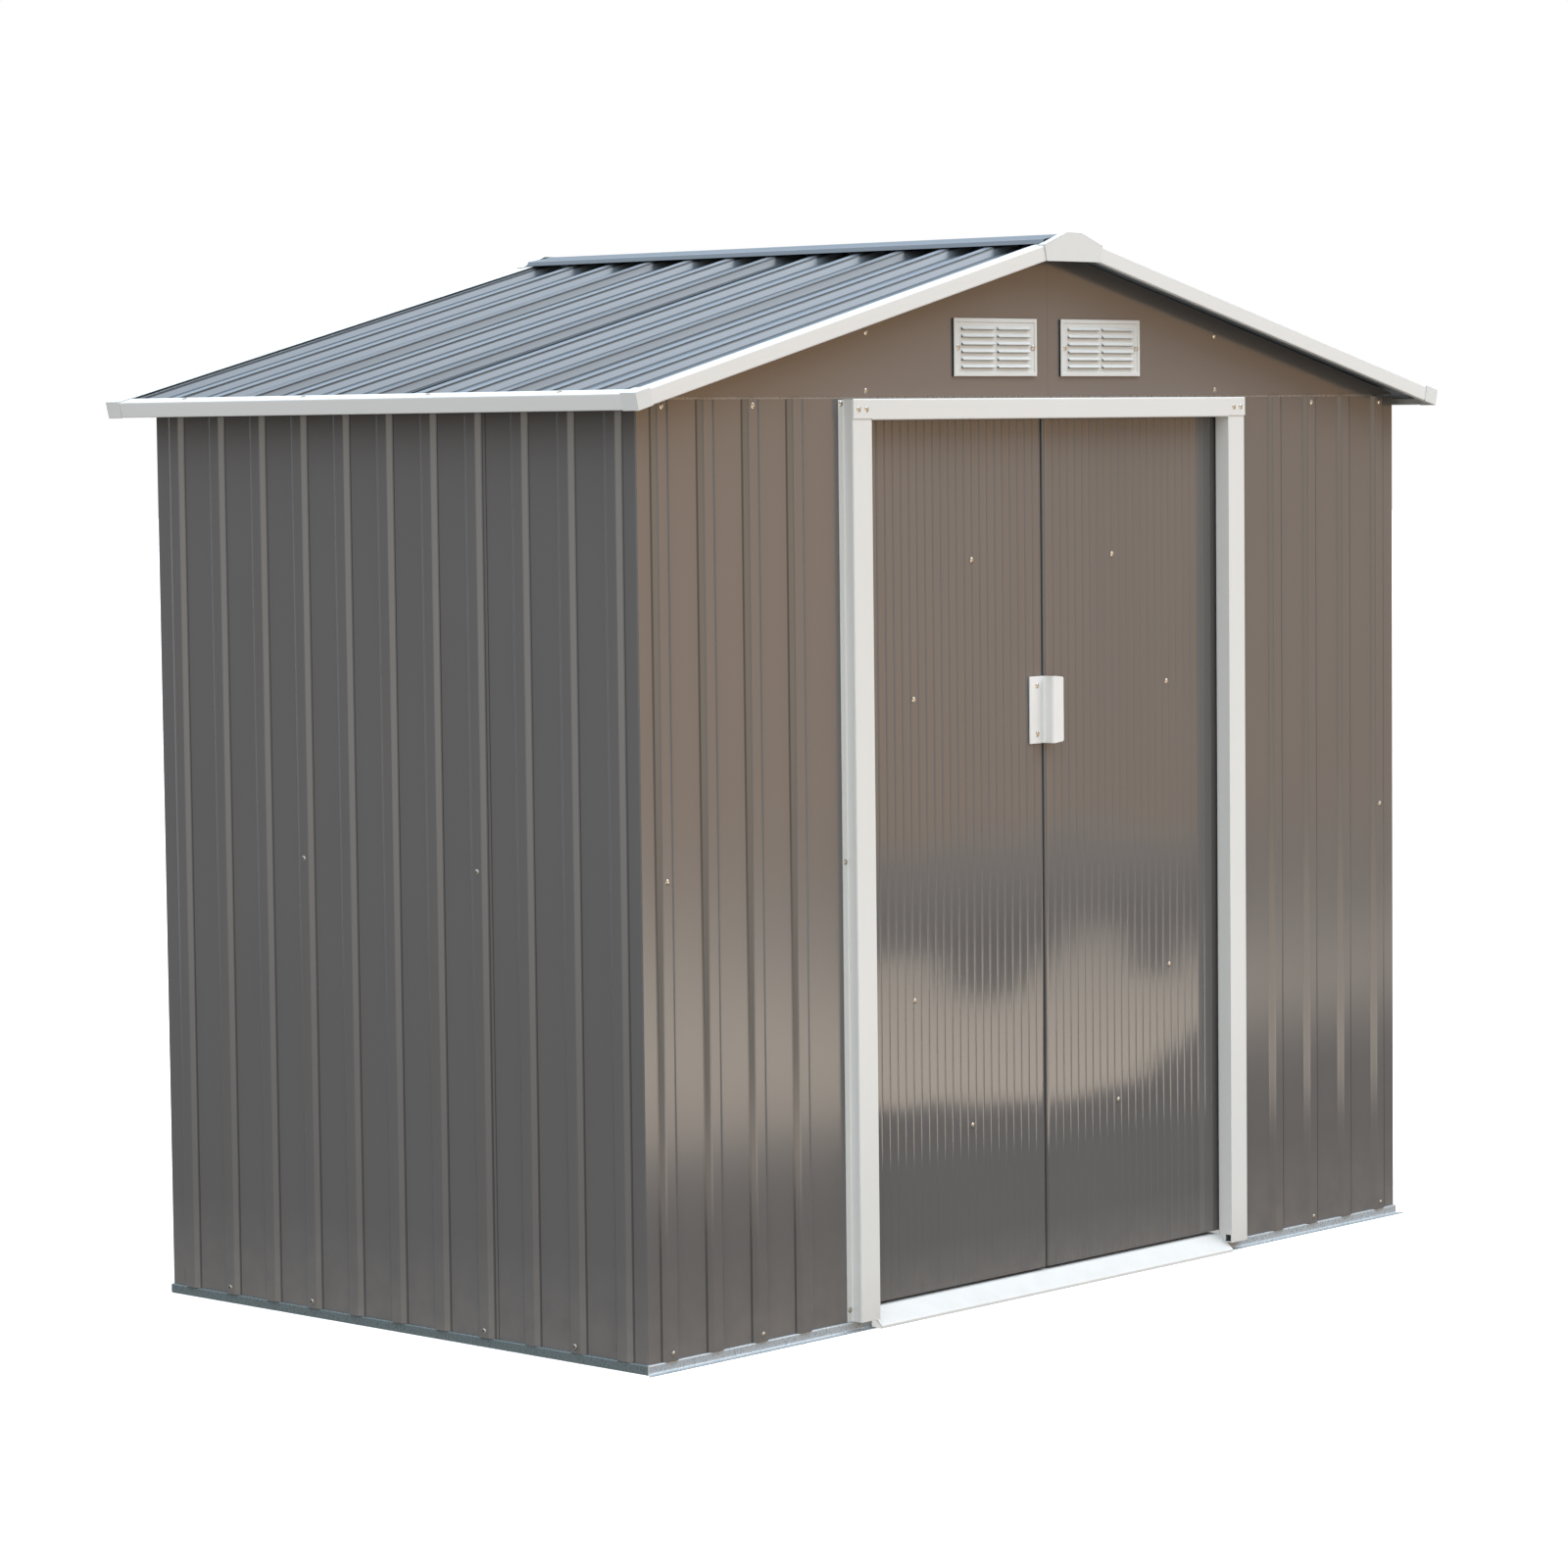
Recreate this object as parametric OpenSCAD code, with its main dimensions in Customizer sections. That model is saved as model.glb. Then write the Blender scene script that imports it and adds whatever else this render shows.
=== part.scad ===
// Metal storage shed: ribbed sheet walls on base rails, a low gable roof and two sliding doors.
// Millimetres. X runs across the front, the front faces -Y, the ground is z = 0.

/* [Walls] */
// Width across the flat pans of the side walls
wall_w = 2006; // [1800:2:2400]
// Depth across the flat pans of the front and back walls
wall_d = 1150; // [1000:2:1400]
// Height of the wall sheets above the ground
wall_h = 1532; // [1400:2:1800]
// Gap between the wall sheets and the gable sheets
gable_gap = 3.5; // [2:0.5:4.5]
// Length of the folded return at each wall corner
corner_return = 25; // [15:1:40]
// Distance from the front corner to the first rib
corner_margin = 50; // [40:1:60]

/* [Ribbed sheet] */
// Thickness of the painted sheet
sheet_t = 1; // [0.8:0.1:1.2]
// Spacing of the walls' ribs
rib_pitch = 104.5; // [95:0.5:115]
// Width of a rib at its foot
rib_base = 40; // [32:1:48]
// Width of a rib at its crest
rib_crest = 22; // [14:1:26]
// Height of a rib on the walls
rib_depth = 7; // [5:0.5:9]
// Spacing of the roof's ribs
roof_pitch = 101; // [92:0.5:110]
// Height of a rib on the roof
roof_rib_depth = 13; // [9:0.5:15]
// Flat edge past the lapped rib
lap_edge = 7; // [4:1:12]
// Step between two lapped wall sheets
lap_step = 1.6; // [1.5:0.1:2.2]
// Clearance between pieces that seat on each other
seat = 0.3; // [0.2:0.05:0.5]

/* [Base rails] */
// Thickness of the galvanised frame sheet
rail_t = 1.5; // [1.2:0.1:2]
// Height of the ledge that carries the walls
rail_h = 16; // [12:1:24]
// Reach of the ledge past the wall pans
rail_ledge = 4; // [3:0.5:8]
// Height of the upright flange behind the walls
rail_upright = 29; // [20:1:40]
// Width of the inner ground flange
rail_flange = 25; // [18:1:35]
// Width of the outer lip along the front
rail_lip = 10; // [6:1:14]

/* [Doorway] */
// Clear width between the jambs
opening_w = 953; // [800:1:1000]
// Width of a jamb's front face
jamb_face = 46.5; // [40:0.5:55]
// How far the jambs stand proud of the wall
jamb_proud = 22; // [18:1:28]
// Width of the jamb flange on the wall
jamb_flange = 12; // [8:1:16]
// Width of the jamb's inner return
jamb_return = 10; // [6:1:14]
// Thickness of the folded door frame
frame_t = 1.2; // [1:0.1:1.5]
// Height of the header
header_h = 35; // [30:1:50]
// Height of the sill at the doors
sill_h = 30; // [24:1:40]
// Reach of the sill nose past the wall pans
sill_reach = 25; // [23:1:35]
// Height of the sill nose
sill_nose = 5; // [3:0.5:8]
// Side of the square slot at the foot of each jamb
foot_slot = 12; // [8:1:14]

/* [Doors] */
// Door skin's distance behind the wall pans
door_set = 13; // [12:0.5:18]
// Depth of a door
door_d = 22; // [18:1:26]
// Overlap of each door behind its jamb
door_overlap = 15; // [10:1:25]
// Clearance round the moving doors
run_clear = 5; // [5:0.5:8]
// Spacing of the fine upright flutes
flute_pitch = 20; // [16:1:26]
// Width of a flute
flute_w = 4; // [3:0.5:10]
// Height of a flute
flute_depth = 0.6; // [0.4:0.1:2]
// Plain margin beside the flutes
flute_margin = 18; // [14:1:30]
// Height of the upper track
track_h = 24; // [20:1:30]
// Width of the upper track
track_w = 28; // [26:1:32]
// Width of each bottom lip of the track
track_lip = 8.5; // [7:0.5:9.5]
// Length of a door slider
slider_l = 50; // [30:1:80]
// Slider's distance from the door's edge
slider_inset = 70; // [50:1:100]

/* [Handle] */
// Height of the handle
handle_h = 115; // [90:1:140]
// Width of the screwed plate
handle_plate = 38; // [30:1:46]
// Width of the grip
handle_grip = 30; // [22:1:40]
// How far the grip stands off the door
handle_proud = 22; // [18:1:26]
// Thickness of the handle's plastic
handle_t = 2.5; // [2:0.1:3.5]
// Radius of the grip's free corners
handle_round = 9; // [4:0.5:12]
// Height of the handle's middle above the ground
handle_z = 1000; // [850:5:1100]

/* [Roof] */
// Slope of the roof in degrees
roof_slope = 14; // [10:0.5:18]
// Overhang past the side walls
side_overhang = 62; // [50:1:80]
// Overhang past the front and back walls
end_overhang = 60; // [50:1:80]
// Rise of the roof's underside above the wall top at the side walls
eave_rise = 5.9; // [5.2:0.1:12]
// Gap from the ridge line to the roof sheets
ridge_gap = 14; // [10:1:20]
// Half width of the ridge cap
ridge_half = 68; // [60:1:80]
// Half width of the ridge cap's flat top
ridge_flat = 8; // [5:1:30]
// Height of the ridge cap's edge fold
ridge_fold = 8; // [6:0.5:10]
// Inward lean of the ridge cap's edge fold
ridge_lean = 5; // [3:0.5:8]
// Height of the ridge cap above the roof line
ridge_rise = 1.8; // [1.5:0.1:4]

/* [Roof trim] */
// Thickness of the trim sheet
trim_t = 1; // [0.8:0.1:1.2]
// Height of the trim's face
trim_face = 27; // [24:1:32]
// Width of the trim's upper flange
trim_flange = 28; // [20:1:34]
// Width of the trim's lower lip
trim_lip = 8; // [6:1:12]
// Distance of the gable trims' upper ends from the ridge line
trim_gap = 22; // [15:1:30]
// Thickness of the plastic caps
cap_t = 1.5; // [1.2:0.1:2]
// Length of a corner cap along each trim
cap_l = 34; // [32:1:40]
// Depth of a ridge end cap
end_cap_d = 14; // [10:1:18]
// Half width of a ridge end cap's flat top
end_cap_flat = 19; // [15:1:24]
// Half width of a ridge end cap at the ends of its slopes
end_cap_half = 78; // [72:1:90]
// Height of a ridge end cap's face
end_cap_h = 49; // [46:1:56]

/* [Gable vents] */
// Width of a vent
vent_w = 216; // [180:1:230]
// Height of a vent
vent_h = 97; // [86:1:110]
// Thickness of a vent's plate
vent_t = 4; // [3:0.5:6]
// Distance of a vent from the middle of the gable
vent_gap = 32; // [20:1:40]
// Height of a vent above the gable's lower edge
vent_lift = 33; // [25:1:38]
// Width of a vent's raised rim
vent_rim = 7; // [4:0.5:9]
// Height of the rim above the louvred panel
vent_rim_h = 1.5; // [1:0.1:2]
// Margin beside the slots
vent_margin = 20; // [16:1:24]
// Margin above and below the slots
vent_edge = 13.5; // [13:0.5:15]
// Width of the bar between the slots
vent_bar = 9; // [6:0.5:16]
// Rows of slots
vent_rows = 6; // [4:1:7]
// Height of a slot
slot_h = 6; // [5:0.5:7]
// Thickness of a louvre blade
blade_t = 1.6; // [1.2:0.1:2]
// Reach of a louvre blade in front of the plate
blade_reach = 4; // [3:0.5:6]

/* [Inner frame] */
// Width of the top rails
top_rail_w = 30; // [24:1:40]
// Depth of the top rails below the wall top
top_rail_drop = 30; // [20:1:40]
// Height of the wall braces' middle above the ground
brace_z = 777; // [600:1:900]
// Height of a wall brace's channel
brace_h = 30; // [20:1:40]
// Depth of a wall brace's channel
brace_d = 18; // [12:1:24]
// Width of a wall brace's flanges
brace_flange = 15; // [10:1:20]
// Half width of the ridge beam
beam_half = 40; // [30:1:55]
// Depth of the ridge beam's sides
beam_d = 30; // [20:1:40]
// Width of a purlin
purlin_w = 36; // [26:1:46]
// Depth of a purlin
purlin_d = 28; // [20:1:36]

/* [Hidden] */

// Colours of the painted sheet, white trim, galvanised frame, roof and door sliders
taupe = "#77706b";
white = "#dcdcd6";
zinc = "#8d9698";
slate = "#6b747d";
charcoal = "#2f3133";

// Extra length of cutting tools
over = 2;
// Share of the side wall's ribs in front of the lap, and of the back wall's ribs up to a lap
side_lap_share = 0.4;
back_lap_share = 0.34;
// Share of the slope at which the purlins lie
purlin_share = 0.52;
// Share of a vent's side margin by which the gable's opening is smaller than the vent
vent_cut_share = 0.5;
// Half width of a slider's neck and foot, and the heights of its head and foot
neck_half = 4;
foot_half = 9;
head_h = 10;
foot_h = 2.5;
// Play of a slider's head inside the track
head_play = 1.3;
// Depth of the handle's rolled edge
handle_hook = 7;

// Distance from the wall pans in to the frame pieces behind the lapped sheets
frame_in = lap_step + sheet_t + seat;
// Step between two lapped roof sheets, which keeps their flanks apart
flank = (rib_base - rib_crest) / 2;
roof_step = (sheet_t + seat) * norm([flank, roof_rib_depth]) / flank;
// Layers from the roof trim's top down to the frame below the roof sheets
roof_stack = trim_t + seat + roof_rib_depth + roof_step + sheet_t + seat;
// Roof sizes and the ridge line where the two trim tops would meet
roof_w = wall_w + 2 * side_overhang;
roof_d = wall_d + 2 * end_overhang;
ridge_z = wall_h + eave_rise + wall_w / 2 * tan(roof_slope) + roof_stack / cos(roof_slope);
cap_out = seat + cap_t;
eave_u = (roof_w / 2 - cap_out * sin(roof_slope)) / cos(roof_slope) - cap_out;
trim_y = roof_d / 2 - cap_out;
// Underside of the roof sheets at a distance from the middle
function under_z(x) = ridge_z - abs(x) * tan(roof_slope) - roof_stack / cos(roof_slope);
// Upper face of the roof trim at a distance from the middle
function trim_z(x) = ridge_z - abs(x) * tan(roof_slope);

// Doorway lines
jamb_in = opening_w / 2;
jamb_out = jamb_in + jamb_face;
header_z = wall_h - header_h;
header_s = jamb_proud + seat + frame_t;
reveal_s = run_clear - door_set;
rail_end = jamb_in + frame_t + seat;
// Door lines
door_in = run_clear / 2;
door_out = jamb_in + door_overlap;
door_w = door_out - door_in;
door_s = -door_set;
door_z0 = sill_h + run_clear;
track_z = wall_h - track_h;
door_z1 = track_z - run_clear;
track_mid = door_s - door_d / 2;
// Gable lines
gable_z = wall_h + gable_gap;
vent_z = gable_z + vent_lift;

// Ribs on each wall and on the roof, counted from the middle outwards
side_ribs = floor((wall_d / 2 - corner_return - rib_base / 2) / rib_pitch);
side_lap = -floor(side_ribs * side_lap_share);
back_ribs = floor((wall_w / 2 - corner_return - rib_base / 2) / rib_pitch);
back_lap = floor(back_ribs * back_lap_share);
front_ribs = floor((wall_w / 2 - jamb_out - jamb_flange - corner_margin - rib_base / 2) / rib_pitch);
// End of the roof sheets inside the gable trims
roof_edge = trim_y - trim_t - seat;
roof_ribs = floor((roof_edge - rib_base / 2) / roof_pitch);
lap_half = rib_base / 2 + lap_edge;
// Lower edge of the ridge cap, resting on the gable trims, and the top of its end caps
cap_edge_z = trim_z(ridge_half) + seat / cos(roof_slope) + trim_t;
cap_top_z = ridge_z + ridge_rise + cap_out;

// Folded sheet: an open outline thickened to its left, or to its right where t is negative
function turned(a, b) = let (d = (b - a) / norm(b - a)) [-d.y, d.x];
function shifted(p, t) = [for (i = [0:len(p) - 1])
    let (n0 = turned(p[max(i, 1) - 1], p[max(i, 1)]), k = min(i, len(p) - 2), n1 = turned(p[k], p[k + 1]))
    p[i] + t * (n0 + n1) / (1 + n0 * n1)];
function folded(p, t) = let (q = shifted(p, t)) concat(p, [for (i = [len(p) - 1:-1:0]) q[i]]);
// One raised rib of height h about c on a sheet whose pan lies at s
function rib(c, s, h) = [[c - rib_base / 2, s], [c - rib_crest / 2, s + h],
    [c + rib_crest / 2, s + h], [c + rib_base / 2, s]];
function ribbed(a0, a1, s, ribs, h) = concat([[a0, s]], [for (c = ribs) each rib(c, s, h)], [[a1, s]]);
function grid(k0, k1, pitch) = [for (k = [k0:k1]) k * pitch];

// Wall frames: x runs along the wall, y points out of the pans, z is up
module on_front() { translate([0, -wall_d / 2, 0]) mirror([0, 1, 0]) children(); }
module on_back() { translate([0, wall_d / 2, 0]) children(); }
module on_left() { translate([-wall_w / 2, 0, 0]) rotate(90) children(); }
module flipped() { mirror([1, 0, 0]) children(); }
module both_sides() { children(); flipped() children(); }
// Slope frame: x runs down the right slope from the ridge line, z points out of the roof
module on_slope() { translate([0, 0, ridge_z]) rotate([0, roof_slope, 0]) children(); }
// An outline in y and z carried along x, and one in x and z carried along y
module carried(a0, a1) { translate([a0, 0, 0]) rotate([90, 0, 90]) linear_extrude(a1 - a0) children(); }
module carried_y(b0, b1) { translate([0, b1, 0]) rotate([90, 0, 0]) linear_extrude(b1 - b0) children(); }
// A box from its two opposite corners
module span(p, q) { translate(p) cube(q - p); }

// Plan of a rail that is mitred at both ends, with half_l as half its length along the wall pans
module mitre(half_l, out, inn) {
    linear_extrude(rail_h + rail_upright + over)
        polygon([[-half_l - out + seat, out], [half_l + out - seat, out],
            [half_l - inn - seat, -inn], [-half_l + inn + seat, -inn]]);
}
module rail(half_l, p) {
    reach = rail_ledge + rail_lip;
    intersection() {
        carried(-half_l - reach, half_l + reach) polygon(folded(p, rail_t));
        translate([0, 0, -over / 2]) mitre(half_l, reach, frame_in + rail_flange + rail_t);
    }
}
function rail_top() = [[rail_ledge, rail_h], [-frame_in, rail_h], [-frame_in, rail_h + rail_upright]];
module wall_rail(half_l) { rail(half_l, concat([[-rail_flange, 0], [rail_ledge, 0]], rail_top())); }

module front_base_rails() {
    color(zinc) on_front() difference() {
        rail(wall_w / 2, concat([[rail_ledge + rail_lip, rail_t], [rail_ledge, rail_t]], rail_top()));
        span([-rail_end, -wall_d / 2, -over], [rail_end, wall_d / 2, wall_h]);
    }
}
module side_base_rails() { color(zinc) both_sides() on_left() wall_rail(wall_d / 2); }
module back_base_rail() { color(zinc) on_back() wall_rail(wall_w / 2); }

// Ramped sill between the jambs: nose, ramp, flat below the doors and back leg
module door_sill() {
    back_s = door_s - door_d - frame_t - run_clear;
    p = [[sill_reach, 0], [sill_reach, sill_nose], [reveal_s, sill_h], [back_s, sill_h], [back_s, 0]];
    color(white) on_front() carried(seat - jamb_in, jamb_in - seat) polygon(folded(p, rail_t));
}

// Jamb: wall flange, outer side, front face, reveal and inner return, with a slot at the foot
module jamb() {
    z0 = rail_h + seat;
    p = [[-jamb_out - jamb_flange, seat + frame_t], [-jamb_out, seat + frame_t], [-jamb_out, jamb_proud],
        [-jamb_in, jamb_proud], [-jamb_in, reveal_s], [-jamb_in - jamb_return, reveal_s]];
    color(white) on_front() difference() {
        translate([0, 0, z0]) linear_extrude(wall_h - frame_t - seat - z0) polygon(folded(p, -frame_t));
        span([-jamb_in - over, jamb_proud - frame_t * 2 - foot_slot, sill_h - foot_slot],
            [-jamb_in + over, jamb_proud - frame_t * 2, sill_h]);
    }
}
module door_jamb_left() { jamb(); }
module door_jamb_right() { flipped() jamb(); }

// Header: top flange and face lapped over the jambs, with a soffit between them
module door_header() {
    face = [[seat, wall_h], [header_s, wall_h], [header_s, header_z]];
    color(white) on_front() {
        carried(-jamb_out, jamb_out) polygon(folded(face, -frame_t));
        carried(seat - jamb_in, jamb_in - seat)
            polygon(folded(concat(face, [[reveal_s, header_z]]), -frame_t));
    }
}

// Front top rail that is also the track: a channel with two bottom lips and a flange up the gable
module door_track() {
    half_l = wall_w / 2 - lap_step - corner_return - seat;
    front_s = track_mid + track_w / 2;
    back_s = track_mid - track_w / 2;
    flange_s = -sheet_t - seat - frame_t;
    flange_z = wall_h + eave_rise - 2 * seat;
    color(zinc) on_front() carried(-half_l, half_l) {
        polygon(folded([[back_s + track_lip, track_z], [back_s, track_z], [back_s, wall_h],
            [flange_s, wall_h], [flange_s, flange_z]], -frame_t));
        polygon(folded([[front_s - track_lip, track_z], [front_s, track_z],
            [front_s, wall_h - frame_t / 2]], frame_t));
    }
}

// Wall sheet of a given outline, standing on the rail's ledge
module wall_sheet(p) {
    z0 = rail_h + seat;
    color(taupe) translate([0, 0, z0]) linear_extrude(wall_h - z0) polygon(folded(p, -sheet_t));
}
module front_wall() {
    a0 = -wall_w / 2;
    ribs = [for (k = [0:front_ribs]) a0 + corner_margin + k * rib_pitch];
    on_front() wall_sheet(ribbed(a0, -jamb_in - jamb_face / 2, 0, ribs, rib_depth));
}
module front_wall_left() { front_wall(); }
module front_wall_right() { flipped() front_wall(); }
module side_wall_front() {
    a0 = lap_step - wall_d / 2;
    ribs = grid(-side_ribs, side_lap, rib_pitch);
    on_left() wall_sheet(concat([[a0, -lap_step - corner_return]],
        ribbed(a0, side_lap * rib_pitch + lap_half, -lap_step, ribs, rib_depth)));
}
module side_wall_rear() {
    ribs = grid(side_lap, side_ribs, rib_pitch);
    on_left() wall_sheet(ribbed(side_lap * rib_pitch - lap_half, wall_d / 2, 0, ribs, rib_depth));
}
module left_wall_front() { side_wall_front(); }
module left_wall_rear() { side_wall_rear(); }
module right_wall_front() { flipped() side_wall_front(); }
module right_wall_rear() { flipped() side_wall_rear(); }
module back_wall() {
    a0 = lap_step - wall_w / 2;
    ribs = grid(-back_ribs, -back_lap, rib_pitch);
    on_back() wall_sheet(concat([[a0, -lap_step - corner_return]],
        ribbed(a0, lap_half - back_lap * rib_pitch, -lap_step, ribs, rib_depth)));
}
module back_wall_left() { back_wall(); }
module back_wall_right() { flipped() back_wall(); }
module back_wall_middle() {
    half_l = back_lap * rib_pitch + lap_half;
    on_back() wall_sheet(ribbed(-half_l, half_l, 0, grid(-back_lap, back_lap, rib_pitch), rib_depth));
}

// Side top rails carry the roof sheets on a flange that follows the slope
module side_top_rails() {
    a0 = track_w / 2 - track_mid + seat - wall_d / 2;
    a1 = wall_d / 2 - frame_in - top_rail_w - seat;
    in_s = frame_in + top_rail_w;
    p = [[-frame_in, wall_h - top_rail_drop], [-frame_in, under_z(wall_w / 2 - frame_in)],
        [-in_s, under_z(wall_w / 2 - in_s)]];
    color(zinc) both_sides() on_left() carried(a0, a1) polygon(folded(p, frame_t));
}
module back_top_rail() {
    half_l = wall_w / 2 - frame_in;
    z0 = wall_h - top_rail_drop;
    p = [[-frame_in - top_rail_w, z0], [-frame_in, z0], [-frame_in, wall_h + eave_rise - 2 * seat]];
    color(zinc) on_back() carried(-half_l, half_l) polygon(folded(p, frame_t));
}

// Wall braces: hat channels across the inside of the side and back walls at mid height
function hat() = let (z0 = brace_z - brace_h / 2, z1 = brace_z + brace_h / 2, in_s = -frame_in - brace_d)
    [[-frame_in, z0 - brace_flange], [-frame_in, z0], [in_s, z0], [in_s, z1],
        [-frame_in, z1], [-frame_in, z1 + brace_flange]];
module side_wall_braces() {
    a0 = corner_return + seat - wall_d / 2;
    a1 = wall_d / 2 - frame_in - brace_d - frame_t - seat;
    color(zinc) both_sides() on_left() carried(a0, a1) polygon(folded(hat(), frame_t));
}
module back_wall_brace() {
    half_l = wall_w / 2 - lap_step - sheet_t - seat;
    color(zinc) on_back() carried(-half_l, half_l) polygon(folded(hat(), frame_t));
}

// Gable sheet under the left slope, with the opening behind its vent
module gable() {
    half_l = wall_w / 2 - sheet_t - seat;
    cut = vent_cut_share * vent_margin;
    color(taupe) difference() {
        carried_y(-sheet_t, 0) polygon([[-half_l, gable_z], [-seat / 2, gable_z],
            [-seat / 2, under_z(seat / 2)], [-half_l, under_z(half_l)]]);
        span([-vent_gap - vent_w + cut, -sheet_t - over, vent_z + cut],
            [-vent_gap - cut, over, vent_z + vent_h - cut]);
    }
}
module front_gable_left() { on_front() gable(); }
module front_gable_right() { flipped() on_front() gable(); }
module back_gable_left() { on_back() gable(); }
module back_gable_right() { flipped() on_back() gable(); }

// Louvred vent: a rimmed panel with two columns of slots, each with a blade that slopes out and down
module vent() {
    slot_w = (vent_w - 2 * vent_margin - vent_bar) / 2;
    row = (vent_h - 2 * vent_edge - slot_h) / (vent_rows - 1);
    panel_t = vent_t - vent_rim_h;
    starts = [vent_margin, vent_margin + slot_w + vent_bar];
    lows = [for (r = [0:vent_rows - 1]) vent_edge + r * row];
    blade = [[0, 0], [panel_t + blade_reach, -slot_h], [panel_t + blade_reach, blade_t - slot_h],
        [panel_t, blade_t], [0, blade_t]];
    color(white) translate([vent_gap, seat, vent_z]) {
        difference() {
            cube([vent_w, vent_t, vent_h]);
            span([vent_rim, panel_t, vent_rim], [vent_w - vent_rim, vent_t + over, vent_h - vent_rim]);
            for (a = starts, z = lows) span([a, -over, z], [a + slot_w, vent_t, z + slot_h]);
        }
        for (a = starts, z = lows) translate([0, 0, z + slot_h]) carried(a, a + slot_w) polygon(blade);
    }
}
module front_vents() { on_front() both_sides() vent(); }
module back_vents() { on_back() both_sides() vent(); }

// Ridge beam: a channel with a top that follows both slopes, between the gables
module ridge_beam() {
    half_l = wall_d / 2 - sheet_t - seat;
    top = under_z(beam_half);
    p = [[-beam_half, top - beam_d], [-beam_half, top], [0, under_z(0)], [beam_half, top],
        [beam_half, top - beam_d]];
    color(zinc) carried_y(-half_l, half_l) polygon(folded(p, -frame_t));
}
module roof_purlins() {
    half_l = wall_d / 2 - sheet_t - seat;
    u0 = purlin_share * eave_u - purlin_w / 2;
    u1 = u0 + purlin_w;
    p = [[u0, -roof_stack - purlin_d], [u0, -roof_stack], [u1, -roof_stack], [u1, -roof_stack - purlin_d]];
    color(zinc) both_sides() on_slope() carried_y(-half_l, half_l) polygon(folded(p, -frame_t));
}

// Roof sheets: the front one laps over the rear one at the middle rib
module roof_sheet(y0, y1, drop, ribs) {
    v = -trim_t - seat - roof_rib_depth - drop;
    color(slate) on_slope() carried(ridge_gap, eave_u - trim_t - seat)
        polygon(folded(ribbed(y0, y1, v, ribs, roof_rib_depth), -sheet_t));
}
module roof_front() { roof_sheet(-roof_edge, lap_half, 0, grid(-roof_ribs, 0, roof_pitch)); }
module roof_rear() { roof_sheet(-lap_half, roof_edge, roof_step, grid(0, roof_ribs, roof_pitch)); }
module roof_left_front() { flipped() roof_front(); }
module roof_left_rear() { flipped() roof_rear(); }
module roof_right_front() { roof_front(); }
module roof_right_rear() { roof_rear(); }

// Ridge cap: flat top, two shallow slopes and steep edge folds that rest on the gable trims
module ridge_cap() {
    half_l = roof_d / 2 - end_cap_d - seat;
    fold_x = ridge_half - ridge_lean;
    fold_z = cap_edge_z + ridge_fold;
    top_z = ridge_z + ridge_rise;
    p = [[-ridge_half, cap_edge_z], [-fold_x, fold_z], [-ridge_flat, top_z], [ridge_flat, top_z],
        [fold_x, fold_z], [ridge_half, cap_edge_z]];
    color(slate) carried_y(-half_l, half_l) polygon(folded(p, -trim_t));
}
// Ridge end cap: a face over the trims' meeting, and a band that runs back from its top and slopes
module end_cap() {
    end_z = trim_z(end_cap_half) + cap_out / cos(roof_slope);
    low_z = cap_top_z - end_cap_h;
    low_half = end_cap_half - (end_z - low_z) * tan(roof_slope);
    line = [[-end_cap_half, end_z], [-end_cap_flat, cap_top_z],
        [end_cap_flat, cap_top_z], [end_cap_half, end_z]];
    color(white) {
        carried_y(trim_y + seat, roof_d / 2) polygon(concat(line, [[low_half, low_z], [-low_half, low_z]]));
        carried_y(roof_d / 2 - end_cap_d, roof_d / 2) polygon(folded(line, -cap_t));
    }
}
module ridge_end_caps() {
    end_cap();
    mirror([0, 1, 0]) end_cap();
}

// Roof trims: an upper flange, a face square to the slope and a lower lip
function trim_line(e) = [[e - trim_flange, 0], [e, 0], [e, -trim_face], [e - trim_lip, -trim_face]];
module eave_trims() {
    half_l = trim_y - trim_flange - seat;
    color(white) both_sides() on_slope() carried_y(-half_l, half_l)
        polygon(folded(trim_line(eave_u), -trim_t));
}
module gable_trims() {
    color(white) both_sides() on_slope() carried(trim_gap, eave_u - trim_t - seat)
        polygon(folded(trim_line(trim_y), -trim_t));
}
module front_gable_trims() { mirror([0, 1, 0]) gable_trims(); }
module back_gable_trims() { gable_trims(); }

// Corner caps: three-sided plastic covers over the meeting of the eave and gable trims
module corner_cap() {
    u1 = eave_u + cap_out;
    y1 = roof_d / 2;
    color(white) on_slope() difference() {
        span([u1 - cap_l, y1 - cap_l, -trim_face - seat], [u1, y1, cap_out]);
        span([u1 - cap_l - over, y1 - cap_l - over, -trim_face - over], [u1 - cap_t, y1 - cap_t, seat]);
    }
}
module roof_corner_caps() {
    both_sides() {
        corner_cap();
        mirror([0, 1, 0]) corner_cap();
    }
}

// Door: a fluted skin folded back at both sides, with a channel leg across its top and bottom
module door() {
    low_s = door_s - flute_depth;
    back_s = door_s - door_d;
    count = floor((door_w - 2 * flute_margin - flute_w) / flute_pitch);
    first = -(door_in + door_out) / 2 - count * flute_pitch / 2;
    flutes = [for (k = [0:count], f = [-1, 0, 1])
        [first + k * flute_pitch + f * flute_w / 2, door_s - abs(f) * flute_depth]];
    skin = concat([[-door_out, back_s], [-door_out, low_s]], flutes,
        [[-door_in, low_s], [-door_in, back_s]]);
    color(taupe) on_front() {
        translate([0, 0, door_z0]) linear_extrude(door_z1 - door_z0) polygon(folded(skin, -sheet_t));
        for (z = [door_z0, door_z1 - sheet_t])
            span([-door_out, back_s, z], [-door_in, low_s - sheet_t / 2, z + sheet_t]);
    }
}
module left_door() { door(); }
module right_door() { flipped() door(); }

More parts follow.
